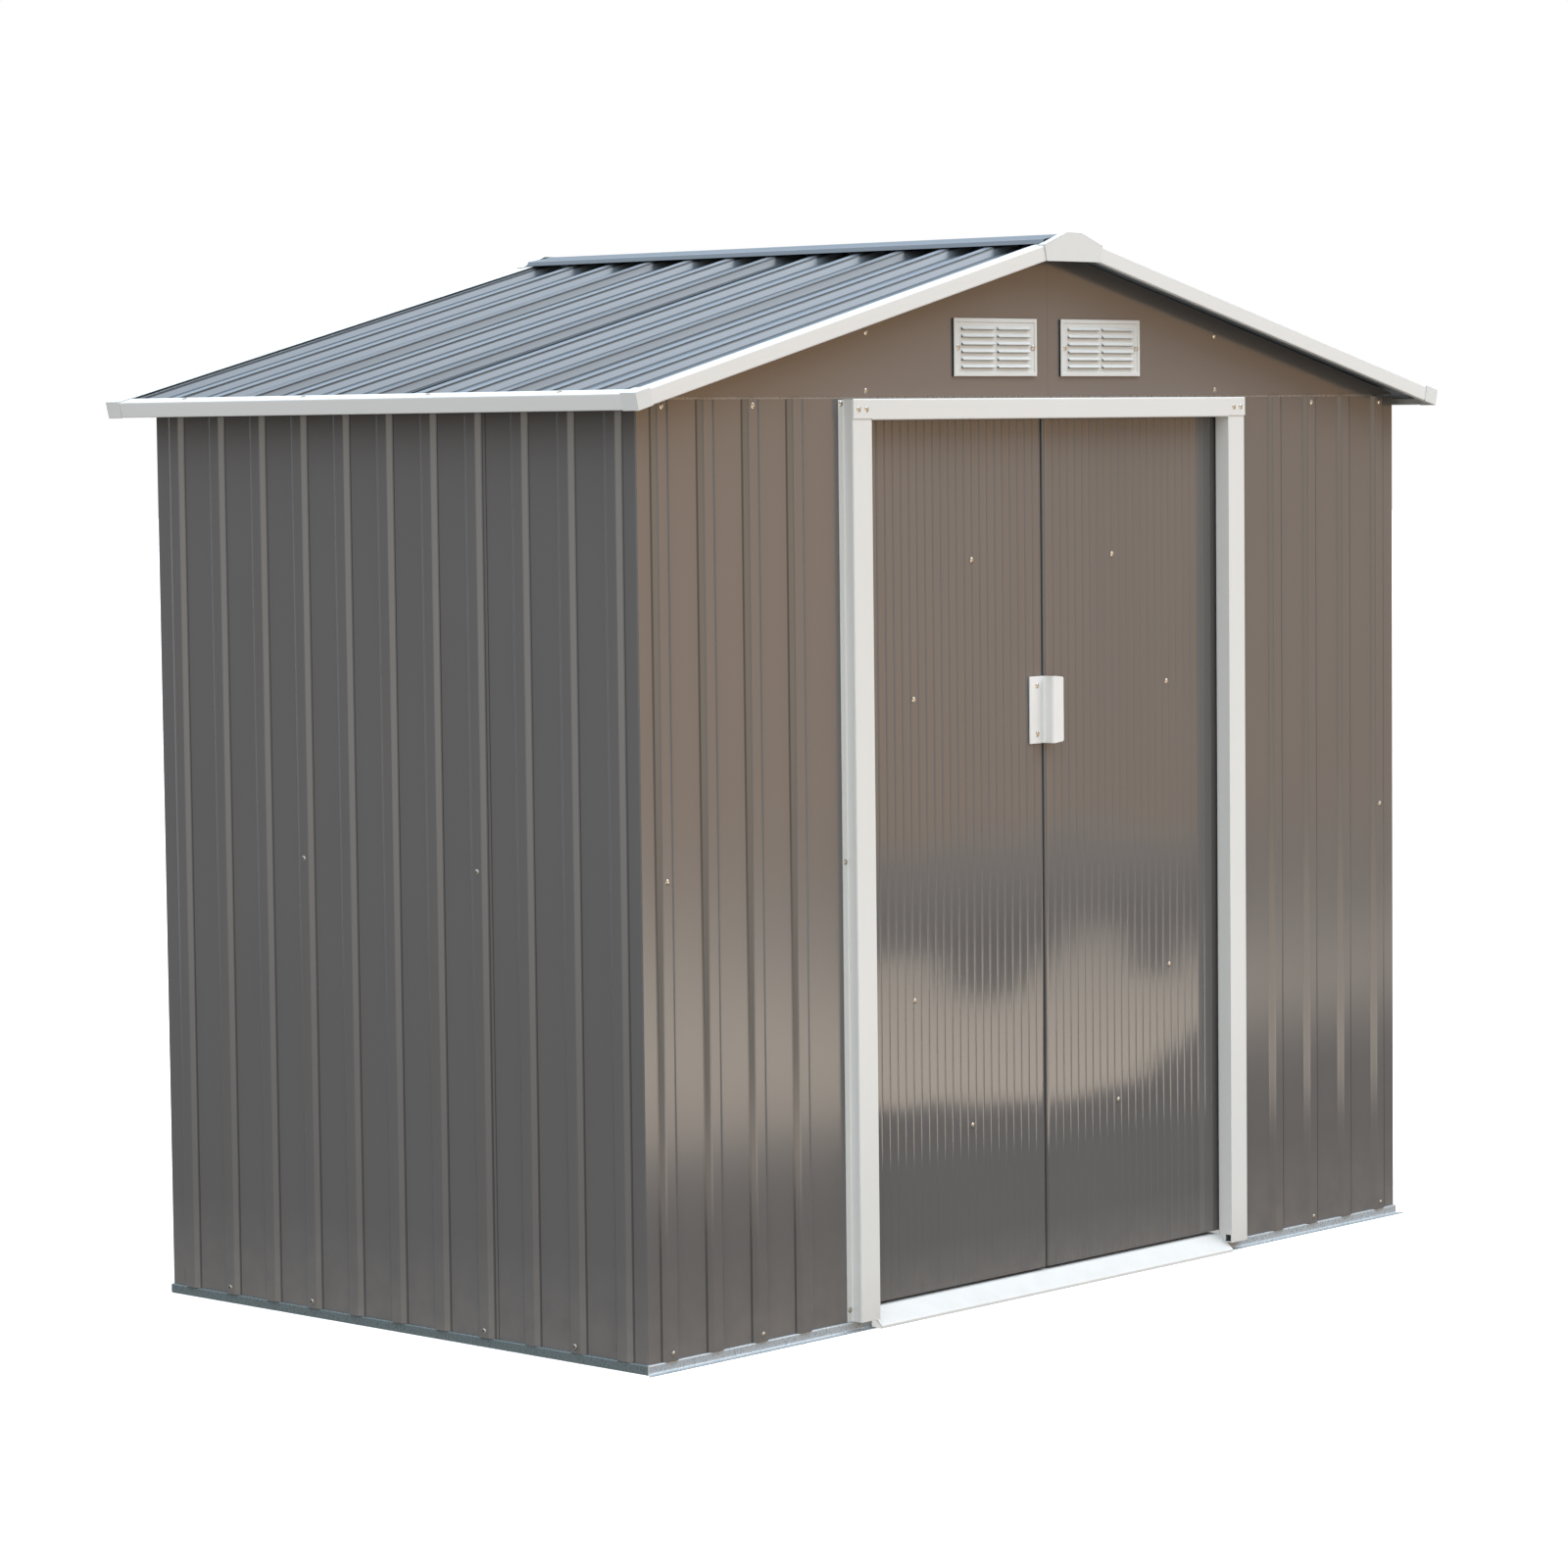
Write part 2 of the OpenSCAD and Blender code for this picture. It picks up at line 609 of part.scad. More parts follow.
// Sliders: a foot on the door's top, a neck through the track's slot and a head on its lips
module sliders() {
    z0 = door_z1 + seat;
    z1 = track_z + frame_t + seat;
    head_half = track_w / 2 - frame_t - head_play;
    p = [[foot_half, z0], [foot_half, z0 + foot_h], [neck_half, z0 + foot_h], [neck_half, z1],
        [head_half, z1], [head_half, z1 + head_h]];
    outline = concat(p, [for (i = [len(p) - 1:-1:0]) [-p[i].x, p[i].y]]);
    color(charcoal) on_front() for (a = [-door_out + slider_inset, -door_in - slider_inset])
        carried(a - slider_l / 2, a + slider_l / 2) translate([track_mid, 0]) polygon(outline);
}
module left_door_sliders() { sliders(); }
module right_door_sliders() { flipped() sliders(); }

// Handle: a plate screwed to the left door and a grip that stands off over the meeting line
module door_handle() {
    s0 = door_s + seat + handle_t;
    s1 = door_s + handle_proud;
    a0 = -door_in - handle_plate;
    a1 = -door_in + handle_grip;
    z0 = handle_z - handle_h / 2;
    z1 = handle_z + handle_h / 2;
    p = [[a0, s0], [-door_in, s0], [-door_in, s1], [a1, s1], [a1, s1 - handle_hook]];
    color(white) on_front() intersection() {
        translate([0, 0, z0]) linear_extrude(handle_h) polygon(folded(p, -handle_t));
        carried_y(door_s, s1 + over) free_corners(a0, a1, z0, z1, handle_round);
    }
}
// Upright outline whose two corners on the right are round
module free_corners(a0, a1, z0, z1, r) {
    translate([a0, z0]) square([a1 - a0 - r, z1 - z0]);
    translate([a0, z0 + r]) square([a1 - a0, z1 - z0 - 2 * r]);
    for (z = [z0 + r, z1 - r]) translate([a1 - r, z]) circle(r);
}

front_base_rails();
side_base_rails();
back_base_rail();
door_sill();
door_jamb_left();
door_jamb_right();
door_header();
door_track();
front_wall_left();
front_wall_right();
left_wall_front();
left_wall_rear();
right_wall_front();
right_wall_rear();
back_wall_left();
back_wall_middle();
back_wall_right();
side_top_rails();
back_top_rail();
side_wall_braces();
back_wall_brace();
front_gable_left();
front_gable_right();
back_gable_left();
back_gable_right();
front_vents();
back_vents();
ridge_beam();
roof_purlins();
roof_left_front();
roof_left_rear();
roof_right_front();
roof_right_rear();
ridge_cap();
ridge_end_caps();
eave_trims();
front_gable_trims();
back_gable_trims();
roof_corner_caps();
left_door();
right_door();
left_door_sliders();
right_door_sliders();
door_handle();
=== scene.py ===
import math
import bpy
import numpy as np
from mathutils import Matrix, Vector


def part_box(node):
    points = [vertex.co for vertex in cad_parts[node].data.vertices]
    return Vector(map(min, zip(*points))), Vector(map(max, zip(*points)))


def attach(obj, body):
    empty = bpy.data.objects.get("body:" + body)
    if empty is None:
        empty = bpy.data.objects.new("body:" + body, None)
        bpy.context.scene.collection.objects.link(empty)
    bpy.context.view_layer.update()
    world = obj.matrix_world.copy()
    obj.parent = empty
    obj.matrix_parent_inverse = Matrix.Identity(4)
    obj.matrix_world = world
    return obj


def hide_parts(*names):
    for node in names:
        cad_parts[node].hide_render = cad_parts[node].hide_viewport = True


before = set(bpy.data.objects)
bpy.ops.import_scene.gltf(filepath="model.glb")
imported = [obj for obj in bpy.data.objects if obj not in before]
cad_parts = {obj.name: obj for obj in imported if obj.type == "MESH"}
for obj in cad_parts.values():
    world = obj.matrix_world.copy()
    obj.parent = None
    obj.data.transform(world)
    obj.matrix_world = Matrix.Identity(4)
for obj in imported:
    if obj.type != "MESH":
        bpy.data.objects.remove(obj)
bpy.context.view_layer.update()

# Base rails: galvanised strips that lie on the ground and carry the wall sheets on a ledge.
# Each is one strip, roll-formed to a step and mitred at the corners. The two front ones have an
# outer lip and stop at the doorway. Metres, with the front facing -Y.
seat = 0.0003
rail_t = 0.0015
rail_ledge = 0.004
rail_lip = 0.010
rail_h = 0.016
rail_upright = 0.029
rail_flange = 0.025
rail_bend = 0.0022
bend_steps = 5
mitre_gap = 0.0012
frame_in = 0.0029
frame_t = 0.0012
wall_half_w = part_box("side_base_rails")[1].x - rail_ledge
wall_half_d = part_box("back_base_rail")[1].y - rail_ledge
jamb_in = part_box("door_sill")[1].x + seat
rail_end = jamb_in + frame_t + seat
# Painted shade and light: the side and back rails' zinc is darkened as their shade, and the front rails' zinc
# is lightened as their light, one metal in two copies.
side_zinc_shaded_dark = (0.150, 0.192, 0.200, 1)
side_zinc_shaded_pale = (0.178, 0.222, 0.230, 1)
front_zinc_lit_dark = (0.40, 0.46, 0.50, 1)
front_zinc_lit_pale = (0.46, 0.52, 0.56, 1)
rail_dust = (0.30, 0.28, 0.25, 1)
rail_dust_height = 0.05
rail_dust_share = 0.2
rail_spangle = 0.003
sharp_edge = math.radians(35)


def bent(corners, radius, steps=bend_steps):
    """Open outline with round bends. At each corner a quadratic curve leaves one leg and joins the next,
    radius * tan(half the turn) from the corner, and a point on each leg past it keeps the flats flat. The
    radius is one number, or a column of one for each corner."""
    p = np.asarray(corners, float)
    corner = p[1:-1]
    leg_in, leg_out = corner - p[:-2], p[2:] - corner
    long_in = np.linalg.norm(leg_in, axis=1, keepdims=True)
    long_out = np.linalg.norm(leg_out, axis=1, keepdims=True)
    way_in, way_out = leg_in / long_in, leg_out / long_out
    cos_turn = np.sum(way_in * way_out, axis=1, keepdims=True)
    reach = radius * np.sqrt(np.maximum(1 - cos_turn, 0) / np.maximum(1 + cos_turn, 1e-6))
    reach = np.minimum(reach, 0.3 * np.minimum(long_in, long_out))
    t = np.linspace(0, 1, steps)[None, :, None]
    start, end = (corner - way_in * reach)[:, None], (corner + way_out * reach)[:, None]
    curve = (1 - t) ** 2 * start + 2 * t * (1 - t) * corner[:, None] + t ** 2 * end
    before, after = corner - 1.5 * way_in * reach, corner + 1.5 * way_out * reach
    bends = np.concatenate([before[:, None], curve, after[:, None]], axis=1)
    return np.vstack([p[:1], bends.reshape(-1, 2), p[-1:]])


def shifted(line, distance):
    """The outline moved sideways: each point goes along the mean of its two legs' left normals, far enough
    that both legs move by the distance. A negative distance moves it to the right."""
    legs = np.diff(line, axis=0)
    normal = np.column_stack([-legs[:, 1], legs[:, 0]]) / np.linalg.norm(legs, axis=1, keepdims=True)
    first, last = np.vstack([normal[:1], normal]), np.vstack([normal, normal[-1:]])
    return line + distance * (first + last) / (1 + np.sum(first * last, axis=1, keepdims=True))


def placed(origin, along, out, up):
    """Function that puts points (along, out, up) into the shed's frame: origin plus the axes times them."""
    axes = np.array([along, out, up], float)
    return lambda points: points @ axes + np.array(origin, float)


front = placed((0, -wall_half_d, 0), (1, 0, 0), (0, -1, 0), (0, 0, 1))
back = placed((0, wall_half_d, 0), (1, 0, 0), (0, 1, 0), (0, 0, 1))
left = placed((-wall_half_w, 0, 0), (0, 1, 0), (-1, 0, 0), (0, 0, 1))
right = placed((wall_half_w, 0, 0), (0, 1, 0), (1, 0, 0), (0, 0, 1))


def carried(line, stations, path, place):
    """Grid of points: the outline lies in two of the place's axes and is repeated at each station along the
    third one, path. A station is one number, or one number for each point of the outline."""
    stations = np.asarray(stations, float).reshape(len(stations), -1)
    grid = np.empty((len(stations), len(line), 3))
    grid[..., path] = stations
    grid[..., [k for k in range(3) if k != path]] = line
    return place(grid)


def thick(outer, inner, keep=None):
    """Closed sheet between two grids of points: both grids' cells where they are kept, and a strip between
    the grids along every edge of the kept cells. The faces are turned so that the volume is positive."""
    rows, cols = outer.shape[:2]
    keep = np.ones((rows - 1, cols - 1), bool) if keep is None else keep
    points = np.concatenate([outer.reshape(-1, 3), inner.reshape(-1, 3)])
    index, far = np.arange(rows * cols).reshape(rows, cols), rows * cols
    a, b, c, d = index[:-1, :-1], index[:-1, 1:], index[1:, 1:], index[1:, :-1]
    faces = [np.stack([a, b, c, d], -1)[keep], np.stack([d, c, b, a], -1)[keep] + far]
    ringed = np.pad(keep, 1)
    for p, q, row, col in ((a, b, 0, 1), (b, c, 1, 2), (c, d, 2, 1), (d, a, 1, 0)):
        edge = keep & ~ringed[row:row + rows - 1, col:col + cols - 1]
        faces.append(np.stack([q, p, p + far, q + far], -1)[edge])
    faces = np.concatenate(faces)
    v = points[faces]
    halves = np.cross(v[:, 1], v[:, 2]) + np.cross(v[:, 2], v[:, 3])
    return points, faces if np.sum(v[:, 0] * halves) > 0 else faces[:, ::-1]


def folded(corners, thickness, radius, stations, path, place):
    """Bent sheet: the outline with round bends and the same outline shifted by the thickness, both carried
    along the path. Stations may be a function of the outline, for ends that are cut at an angle."""
    line = bent(corners, radius)
    other = shifted(line, thickness)
    at = stations if callable(stations) else lambda outline: stations
    return thick(carried(line, at(line), path, place), carried(other, at(other), path, place))


def piece(name, parts, material, body, slot, *nodes):
    """One object from several closed parts: their points put end to end, their faces renumbered to match.
    Bends are shaded smooth and edges over 35 degrees stay sharp."""
    first = np.cumsum([0] + [len(points) for points, _ in parts[:-1]])
    faces = np.concatenate([f + n for (_, f), n in zip(parts, first)])
    mesh = bpy.data.meshes.new(name)
    mesh.from_pydata(np.concatenate([points for points, _ in parts]).tolist(), [], faces.tolist())
    mesh.shade_smooth()
    mesh.set_sharp_from_angle(angle=sharp_edge)
    mesh.materials.append(material)
    made = bpy.data.objects.new(name, mesh)
    bpy.context.scene.collection.objects.link(made)
    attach(made, body)
    if nodes:
        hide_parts(*nodes)
    return made


def node(tree, kind, inputs=None, **settings):
    """Adds one shader node with its settings. An input that is given a socket is linked, a value is set."""
    made = tree.nodes.new(kind)
    for key, value in settings.items():
        setattr(made, key, value)
    for key, value in (inputs or {}).items():
        if isinstance(value, bpy.types.NodeSocket):
            tree.links.new(value, made.inputs[key])
        else:
            made.inputs[key].default_value = value
    return made


def worked(tree, operation, *values):
    """Output of a Math node, with the values or sockets as its inputs in order."""
    return node(tree, "ShaderNodeMath", dict(enumerate(values)), operation=operation).outputs["Value"]


def ramped(tree, value, low, high, start=0.0, end=1.0):
    """Output of a Map Range node: the value from low to high taken as start to end."""
    limits = {"Value": value, "From Min": low, "From Max": high, "To Min": start, "To Max": end}
    return node(tree, "ShaderNodeMapRange", limits).outputs["Result"]


def noise(tree, place, scale, detail):
    """Value of a noise at a place."""
    made = node(tree, "ShaderNodeTexNoise", {"Vector": place, "Scale": scale, "Detail": detail})
    return made.outputs["Fac"]


def shared(tree, effect, output, **inputs):
    """Output of a shared effect's group, placed in the tree with its own values."""
    return node(tree, "ShaderNodeGroup", inputs, node_tree=effect).outputs[output]


def group(name, inputs, output):
    """Empty node group with float inputs and one float output. Returns its tree and the sockets inside it."""
    tree = bpy.data.node_groups.new(name, "ShaderNodeTree")
    for key, value in inputs.items():
        tree.interface.new_socket(key, in_out="INPUT", socket_type="NodeSocketFloat").default_value = value
    tree.interface.new_socket(output, in_out="OUTPUT", socket_type="NodeSocketFloat")
    return tree, tree.nodes.new("NodeGroupInput").outputs, tree.nodes.new("NodeGroupOutput").inputs


# Dust that settles low on the shed: full at the ground, gone at the given height, broken up by noise.
ground_dust, given, result = group("ground_dust", {"Height": 0.2, "Grain": 25.0}, "Mask")
place_of = node(ground_dust, "ShaderNodeTexCoord").outputs["Object"]
height_of = node(ground_dust, "ShaderNodeSeparateXYZ", {0: place_of}).outputs["Z"]
fade = ramped(ground_dust, height_of, 0.0, given["Height"], 1.0, 0.0)
settled = worked(ground_dust, "MULTIPLY", fade, noise(ground_dust, place_of, given["Grain"], 5.0))
ground_dust.links.new(settled, result["Mask"])

# Fine unevenness of a coated or cast surface, a height that changes every few millimetres.
fine_peel, given, result = group("fine_peel", {"Scale": 400.0, "Detail": 2.0}, "Height")
place_of = node(fine_peel, "ShaderNodeTexCoord").outputs["Object"]
fine_peel.links.new(noise(fine_peel, place_of, given["Scale"], given["Detail"]), result["Height"])


def colour_mix(tree, mask, low, high):
    """Colour output of a Mix node in its colour mode, whose sockets follow its float and vector ones."""
    made = tree.nodes.new("ShaderNodeMix")
    made.data_type = "RGBA"
    for socket, value in zip((made.inputs[0], made.inputs[6], made.inputs[7]), (mask, low, high)):
        if isinstance(value, bpy.types.NodeSocket):
            tree.links.new(value, socket)
        else:
            socket.default_value = value
    return made.outputs[2]


def new_material(name):
    """Empty node material and its tree."""
    material = bpy.data.materials.new(name)
    material.use_nodes = True
    material.node_tree.nodes.clear()
    return material, material.node_tree


def finished(material, sockets):
    """Puts a Principled BSDF with these sockets on the material's output."""
    shader = node(material.node_tree, "ShaderNodeBsdfPrincipled", sockets)
    node(material.node_tree, "ShaderNodeOutputMaterial", {"Surface": shader.outputs["BSDF"]})
    return material


def galvanised(name, dark, pale, crystal):
    """Hot-dipped zinc: Voronoi cells of the crystal size give each spangle its own tone and gloss, a finer
    noise clouds them, and dust lies low down."""
    material, tree = new_material(name)
    spot = node(tree, "ShaderNodeTexCoord").outputs["Object"]
    cells = node(tree, "ShaderNodeTexVoronoi", {"Vector": spot, "Scale": 1 / crystal, "Randomness": 1.0})
    tone = node(tree, "ShaderNodeSeparateColor", {"Color": cells.outputs["Color"]}).outputs["Red"]
    mask = worked(tree, "MULTIPLY_ADD", tone, noise(tree, spot, 18.0, 4.0), 0.1)
    spangled = colour_mix(tree, mask, dark, pale)
    dust = shared(tree, ground_dust, "Mask", Height=rail_dust_height)
    thin_dust = worked(tree, "MULTIPLY", dust, rail_dust_share)
    peel = shared(tree, fine_peel, "Height", Scale=260.0)
    relief = node(tree, "ShaderNodeBump", {"Height": peel, "Strength": 0.25, "Distance": 0.0002})
    return finished(material, {"Base Color": colour_mix(tree, thin_dust, spangled, rail_dust),
                               "Roughness": ramped(tree, tone, 0.0, 1.0, 0.24, 0.40), "Metallic": 0.3,
                               "Normal": relief.outputs["Normal"]})


# Shaded copy for the side and back rails, lit copy for the front ones.
zinc = galvanised("side_zinc_painted_shade", side_zinc_shaded_dark, side_zinc_shaded_pale, rail_spangle)
lit_front_zinc = galvanised("front_zinc_painted_light", front_zinc_lit_dark, front_zinc_lit_pale, rail_spangle)


def mitred(line, half_length):
    """End of a rail cut at 45 degrees: half the wall's length plus each point's distance out of the wall."""
    return half_length + line[:, 0] - mitre_gap


def both_mitred(half_length):
    """Stations for a rail that is mitred at both ends."""
    return lambda line: np.stack([-mitred(line, half_length), mitred(line, half_length)])


ledge = [(rail_ledge, rail_h), (-frame_in, rail_h), (-frame_in, rail_h + rail_upright)]
lipped = [(rail_ledge + rail_lip, rail_t), (rail_ledge, rail_t)] + ledge
flanged = [(-rail_flange, 0), (rail_ledge, 0)] + ledge
front_ends = (lambda line: np.stack([-mitred(line, wall_half_w), np.full(len(line), -rail_end)]),
              lambda line: np.stack([np.full(len(line), rail_end), mitred(line, wall_half_w)]))
front_rails = [folded(lipped, rail_t, rail_bend, ends, 0, front) for ends in front_ends]
piece("front_rail_strips", front_rails, lit_front_zinc, "shed", "galvanised", "front_base_rails")
side_rails = [folded(flanged, rail_t, rail_bend, both_mitred(wall_half_d), 0, wall) for wall in (left, right)]
piece("side_rail_strips", side_rails, zinc, "shed", "galvanised", "side_base_rails")
back_rail = folded(flanged, rail_t, rail_bend, both_mitred(wall_half_w), 0, back)
piece("back_rail_strip", [back_rail], zinc, "shed", "galvanised", "back_base_rail")


# Door sill: a white painted strip folded to a ramp, from a low nose in front of the wall up to the flat
# that the doors pass over, with a leg down to the ground behind them. It is screwed to the jambs' feet.
sill_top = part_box("door_sill")[1].z
sill_nose_s = -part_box("door_sill")[0].y - wall_half_d
sill_back_s = -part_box("door_sill")[1].y - wall_half_d
sill_nose_h = 0.005
sill_bend = 0.003
reveal_s = -0.008
white_colour = (0.715, 0.72, 0.70, 1)
white_dull = (0.69, 0.695, 0.675, 1)
mud_colour = (0.34, 0.31, 0.27, 1)
mud_share = 0.35
mud_rough = 0.1
gloss_spread = 0.07
# Near black, painted into the ribs' creases and bends as the shadow that falls there.
crease_shadow_colour = (0.018, 0.019, 0.021, 1)

# Slow waves of a thin sheet that never lies quite flat: stretched noise, a height over the sheet.
sheet_waves, given, result = group("sheet_waves", {"Across": 3.0, "Up": 1.5}, "Height")
place_of = node(sheet_waves, "ShaderNodeTexCoord").outputs["Object"]
stretch = node(sheet_waves, "ShaderNodeCombineXYZ",
               {"X": given["Across"], "Y": given["Across"], "Z": given["Up"]}).outputs["Vector"]
stretched = node(sheet_waves, "ShaderNodeVectorMath", {0: place_of, 1: stretch}, operation="MULTIPLY")
swell = node(sheet_waves, "ShaderNodeTexNoise",
             {"Vector": stretched.outputs["Vector"], "Scale": 1.0, "Detail": 1.0, "Roughness": 0.4})
sheet_waves.links.new(swell.outputs["Fac"], result["Height"])


def painted(name, colour, dull, gloss, wave, streak, dust_height):
    """Coated steel sheet: the colour clouds slightly, dust dulls it low down, and a painted shade, near
    black, lies along the bends where the mesh marks them, standing in for the shadow in the ribs' creases.
    The sheet's slow waves, the rolling streaks along it and a fine peel bend its reflections. Gloss is the
    lowest roughness, and wave and streak are heights in metres."""
    material, tree = new_material(name)
    spot = node(tree, "ShaderNodeTexCoord").outputs["Object"]
    cloud = noise(tree, spot, 5.0, 6.0)
    dust = shared(tree, ground_dust, "Mask", Height=dust_height)
    mud = worked(tree, "MULTIPLY", dust, mud_share)
    dusty = colour_mix(tree, mud, colour_mix(tree, cloud, dull, colour), mud_colour)
    # Painted shade: the mesh's share of shadow at each point of its bends mixes the colour towards near
    # black.
    crease_shadow_mask = node(tree, "ShaderNodeAttribute", attribute_name="shaded_bends").outputs["Fac"]
    clean_rough = ramped(tree, cloud, 0.0, 1.0, gloss, gloss + gloss_spread)
    heights = ((shared(tree, sheet_waves, "Height"), 1.0, wave),
               (shared(tree, sheet_waves, "Height", Across=60.0, Up=1.3), 1.0, streak),
               (shared(tree, fine_peel, "Height", Scale=650.0), 0.12, 0.0001))
    below = {}
    for height, strength, distance in heights:
        relief = node(tree, "ShaderNodeBump",
                      {"Height": height, "Strength": strength, "Distance": distance, **below})
        below = {"Normal": relief.outputs["Normal"]}
    return finished(material, {"Base Color": colour_mix(tree, crease_shadow_mask, dusty, crease_shadow_colour),
                               "Roughness": worked(tree, "MULTIPLY_ADD", dust, mud_rough, clean_rough),
                               "IOR": 1.5, **below})


white_paint = painted("white_paint", white_colour, white_dull, gloss=0.28, wave=0.0003, streak=0.00002,
                      dust_height=0.10)
ramp = [(sill_nose_s, 0), (sill_nose_s, sill_nose_h), (reveal_s, sill_top), (sill_back_s, sill_top),
        (sill_back_s, 0)]
piece("sill_ramp", [folded(ramp, rail_t, sill_bend, (seat - jamb_in, jamb_in - seat), 0, front)], white_paint,
      "shed", "white_paint", "door_sill")


# Wall sheets: painted steel, roll-formed with flat-topped ribs and stood on the rails' ledge. On the sides
# the rear sheet laps over the front one at a rib, and on the back the middle sheet laps over both others.
# The sheets under a corner have a folded return, and each is screwed to the frame behind it.
sheet_t = 0.001
rib_pitch = 0.1045
rib_base = 0.040
rib_crest = 0.022
rib_depth = 0.007
rib_corners = 4
rib_bend = 0.005
lap_step = 0.0016
lap_edge = 0.007
lap_half = rib_base / 2 + lap_edge
corner_return = 0.025
corner_margin = 0.050
jamb_face = 0.0465
wall_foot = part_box("front_wall_left")[0].z
wall_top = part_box("front_wall_left")[1].z
# Painted shade at each rib's front foot, front shoulder, rear shoulder and rear foot: only the front foot,
# where the crease lies in shadow.
wall_crease_shadow = (0.60, 0.0, 0.0, 0.0)
front_ribs = 4
side_ribs, side_lap = 5, -2
back_ribs, back_lap = 9, 3
front_rib_places = -wall_half_w + corner_margin + rib_pitch * np.arange(front_ribs)
taupe = (0.134, 0.127, 0.123, 1)
taupe_dull = (0.125, 0.119, 0.115, 1)
wall_paint = painted("taupe_wall_paint", taupe, taupe_dull, gloss=0.13, wave=0.0010, streak=0.00004,
                     dust_height=0.18)


def ribbed(first, last, pan, ribs, depth):
    """Outline of a ribbed sheet: a flat pan from first to last, and about each rib up one flank, along the
    crest and down the other flank."""
    along = np.add.outer(np.asarray(ribs), [-rib_base / 2, -rib_crest / 2, rib_crest / 2, rib_base / 2])
    height = np.tile([pan, pan + depth, pan + depth, pan], len(ribs))
    return np.column_stack([np.r_[first, along.ravel(), last], np.r_[pan, height, pan]])


def crease_shadow_per_point(marks, spread):
    """Painted shade at each point of a bent outline between two stations: a corner's share on the points of
    its bend, that share times the spread on the flats beside it, and nothing at the ends and on the inner
    face."""
    beside = np.asarray(marks) * spread
    bends = np.column_stack([beside] + [marks] * bend_steps + [beside])
    line = np.r_[0, bends.ravel(), 0]
    return np.r_[line, line, np.zeros(2 * len(line))]


def store_crease_shadow(made, *values):
    """Keeps the painted shade of each of the piece's points as an attribute that its material reads."""
    marks = made.data.attributes.new("shaded_bends", "FLOAT", "POINT")
    marks.data.foreach_set("value", np.concatenate(values).astype(np.float32))


def wall_sheet(name, line, place):
    """Ribbed outline stood on the ledge and carried up to the wall's top, with painted shade in the ribs'
    feet.
    """
    part = folded(line, -sheet_t, rib_bend, (wall_foot, wall_top), 2, place)
    ribs, other_corners = divmod(len(line) - 2, rib_corners)
    marks = np.r_[np.zeros(other_corners), np.tile(wall_crease_shadow, ribs)]
    store_crease_shadow(piece(name + "_sheet", [part], wall_paint, "shed", "wall_paint", name), crease_shadow_per_point(marks, 0.0))


front_line = ribbed(-wall_half_w, -jamb_in - jamb_face / 2, 0, front_rib_places, rib_depth)
side_start = lap_step - wall_half_d
side_front_line = np.vstack([[side_start, -lap_step - corner_return],
                             ribbed(side_start, side_lap * rib_pitch + lap_half, -lap_step,
                                    rib_pitch * np.arange(-side_ribs, side_lap + 1), rib_depth)])
side_rear_line = ribbed(side_lap * rib_pitch - lap_half, wall_half_d, 0,
                        rib_pitch * np.arange(side_lap, side_ribs + 1), rib_depth)
back_start = lap_step - wall_half_w
back_side_line = np.vstack([[back_start, -lap_step - corner_return],
                            ribbed(back_start, lap_half - back_lap * rib_pitch, -lap_step,
                                   rib_pitch * np.arange(-back_ribs, 1 - back_lap), rib_depth)])
back_half = back_lap * rib_pitch + lap_half
back_line = ribbed(-back_half, back_half, 0, rib_pitch * np.arange(-back_lap, back_lap + 1), rib_depth)
front_flipped = placed((0, -wall_half_d, 0), (-1, 0, 0), (0, -1, 0), (0, 0, 1))
back_flipped = placed((0, wall_half_d, 0), (-1, 0, 0), (0, 1, 0), (0, 0, 1))
wall_sheet("front_wall_left", front_line, front)
wall_sheet("front_wall_right", front_line, front_flipped)
wall_sheet("left_wall_front", side_front_line, left)
wall_sheet("left_wall_rear", side_rear_line, left)
wall_sheet("right_wall_front", side_front_line, right)
wall_sheet("right_wall_rear", side_rear_line, right)
wall_sheet("back_wall_left", back_side_line, back)
wall_sheet("back_wall_right", back_side_line, back_flipped)
wall_sheet("back_wall_middle", back_line, back)


# Inner frame: galvanised angles and hat channels behind the sheets, along the wall tops and across the walls
# at mid height, and the channel over the doorway that the doors hang in. Screws through the sheets hold them.
# Painted shade: the inner frame's zinc is darker than the metal is, so the gap between the wall sheets and
# the gables reads as a shadow line.
inner_zinc_shaded_dark = (0.20, 0.215, 0.22, 1)
inner_zinc_shaded_grey = (0.26, 0.275, 0.28, 1)
frame_spangle = 0.004


def dressed(material, slot, *names):
    """Nodes whose shape is right keep it and take the material."""
    for name in names:
        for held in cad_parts[name].material_slots:
            held.material = material


# Darkened zinc, painted shade for the gap behind the sheets.
shaded_inner_zinc = galvanised("inner_zinc_painted_shade", inner_zinc_shaded_dark, inner_zinc_shaded_grey, frame_spangle)
dressed(shaded_inner_zinc, "galvanised", "side_top_rails", "back_top_rail", "side_wall_braces", "back_wall_brace",
        "door_track")


# Door frame: two white jambs and a header, folded from steel strip to stand proud of the wall and cover the
# sheets' edges. Each jamb has a flange screwed to the wall and a square slot at its foot, and the header
# laps over the jambs and has a soffit between them.
jamb_out = jamb_in + jamb_face
jamb_proud = 0.022
jamb_flange = 0.012
jamb_return = 0.010
jamb_bend = 0.0025
foot_slot = 0.012
header_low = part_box("door_header")[0].z
header_s = jamb_proud + seat + frame_t


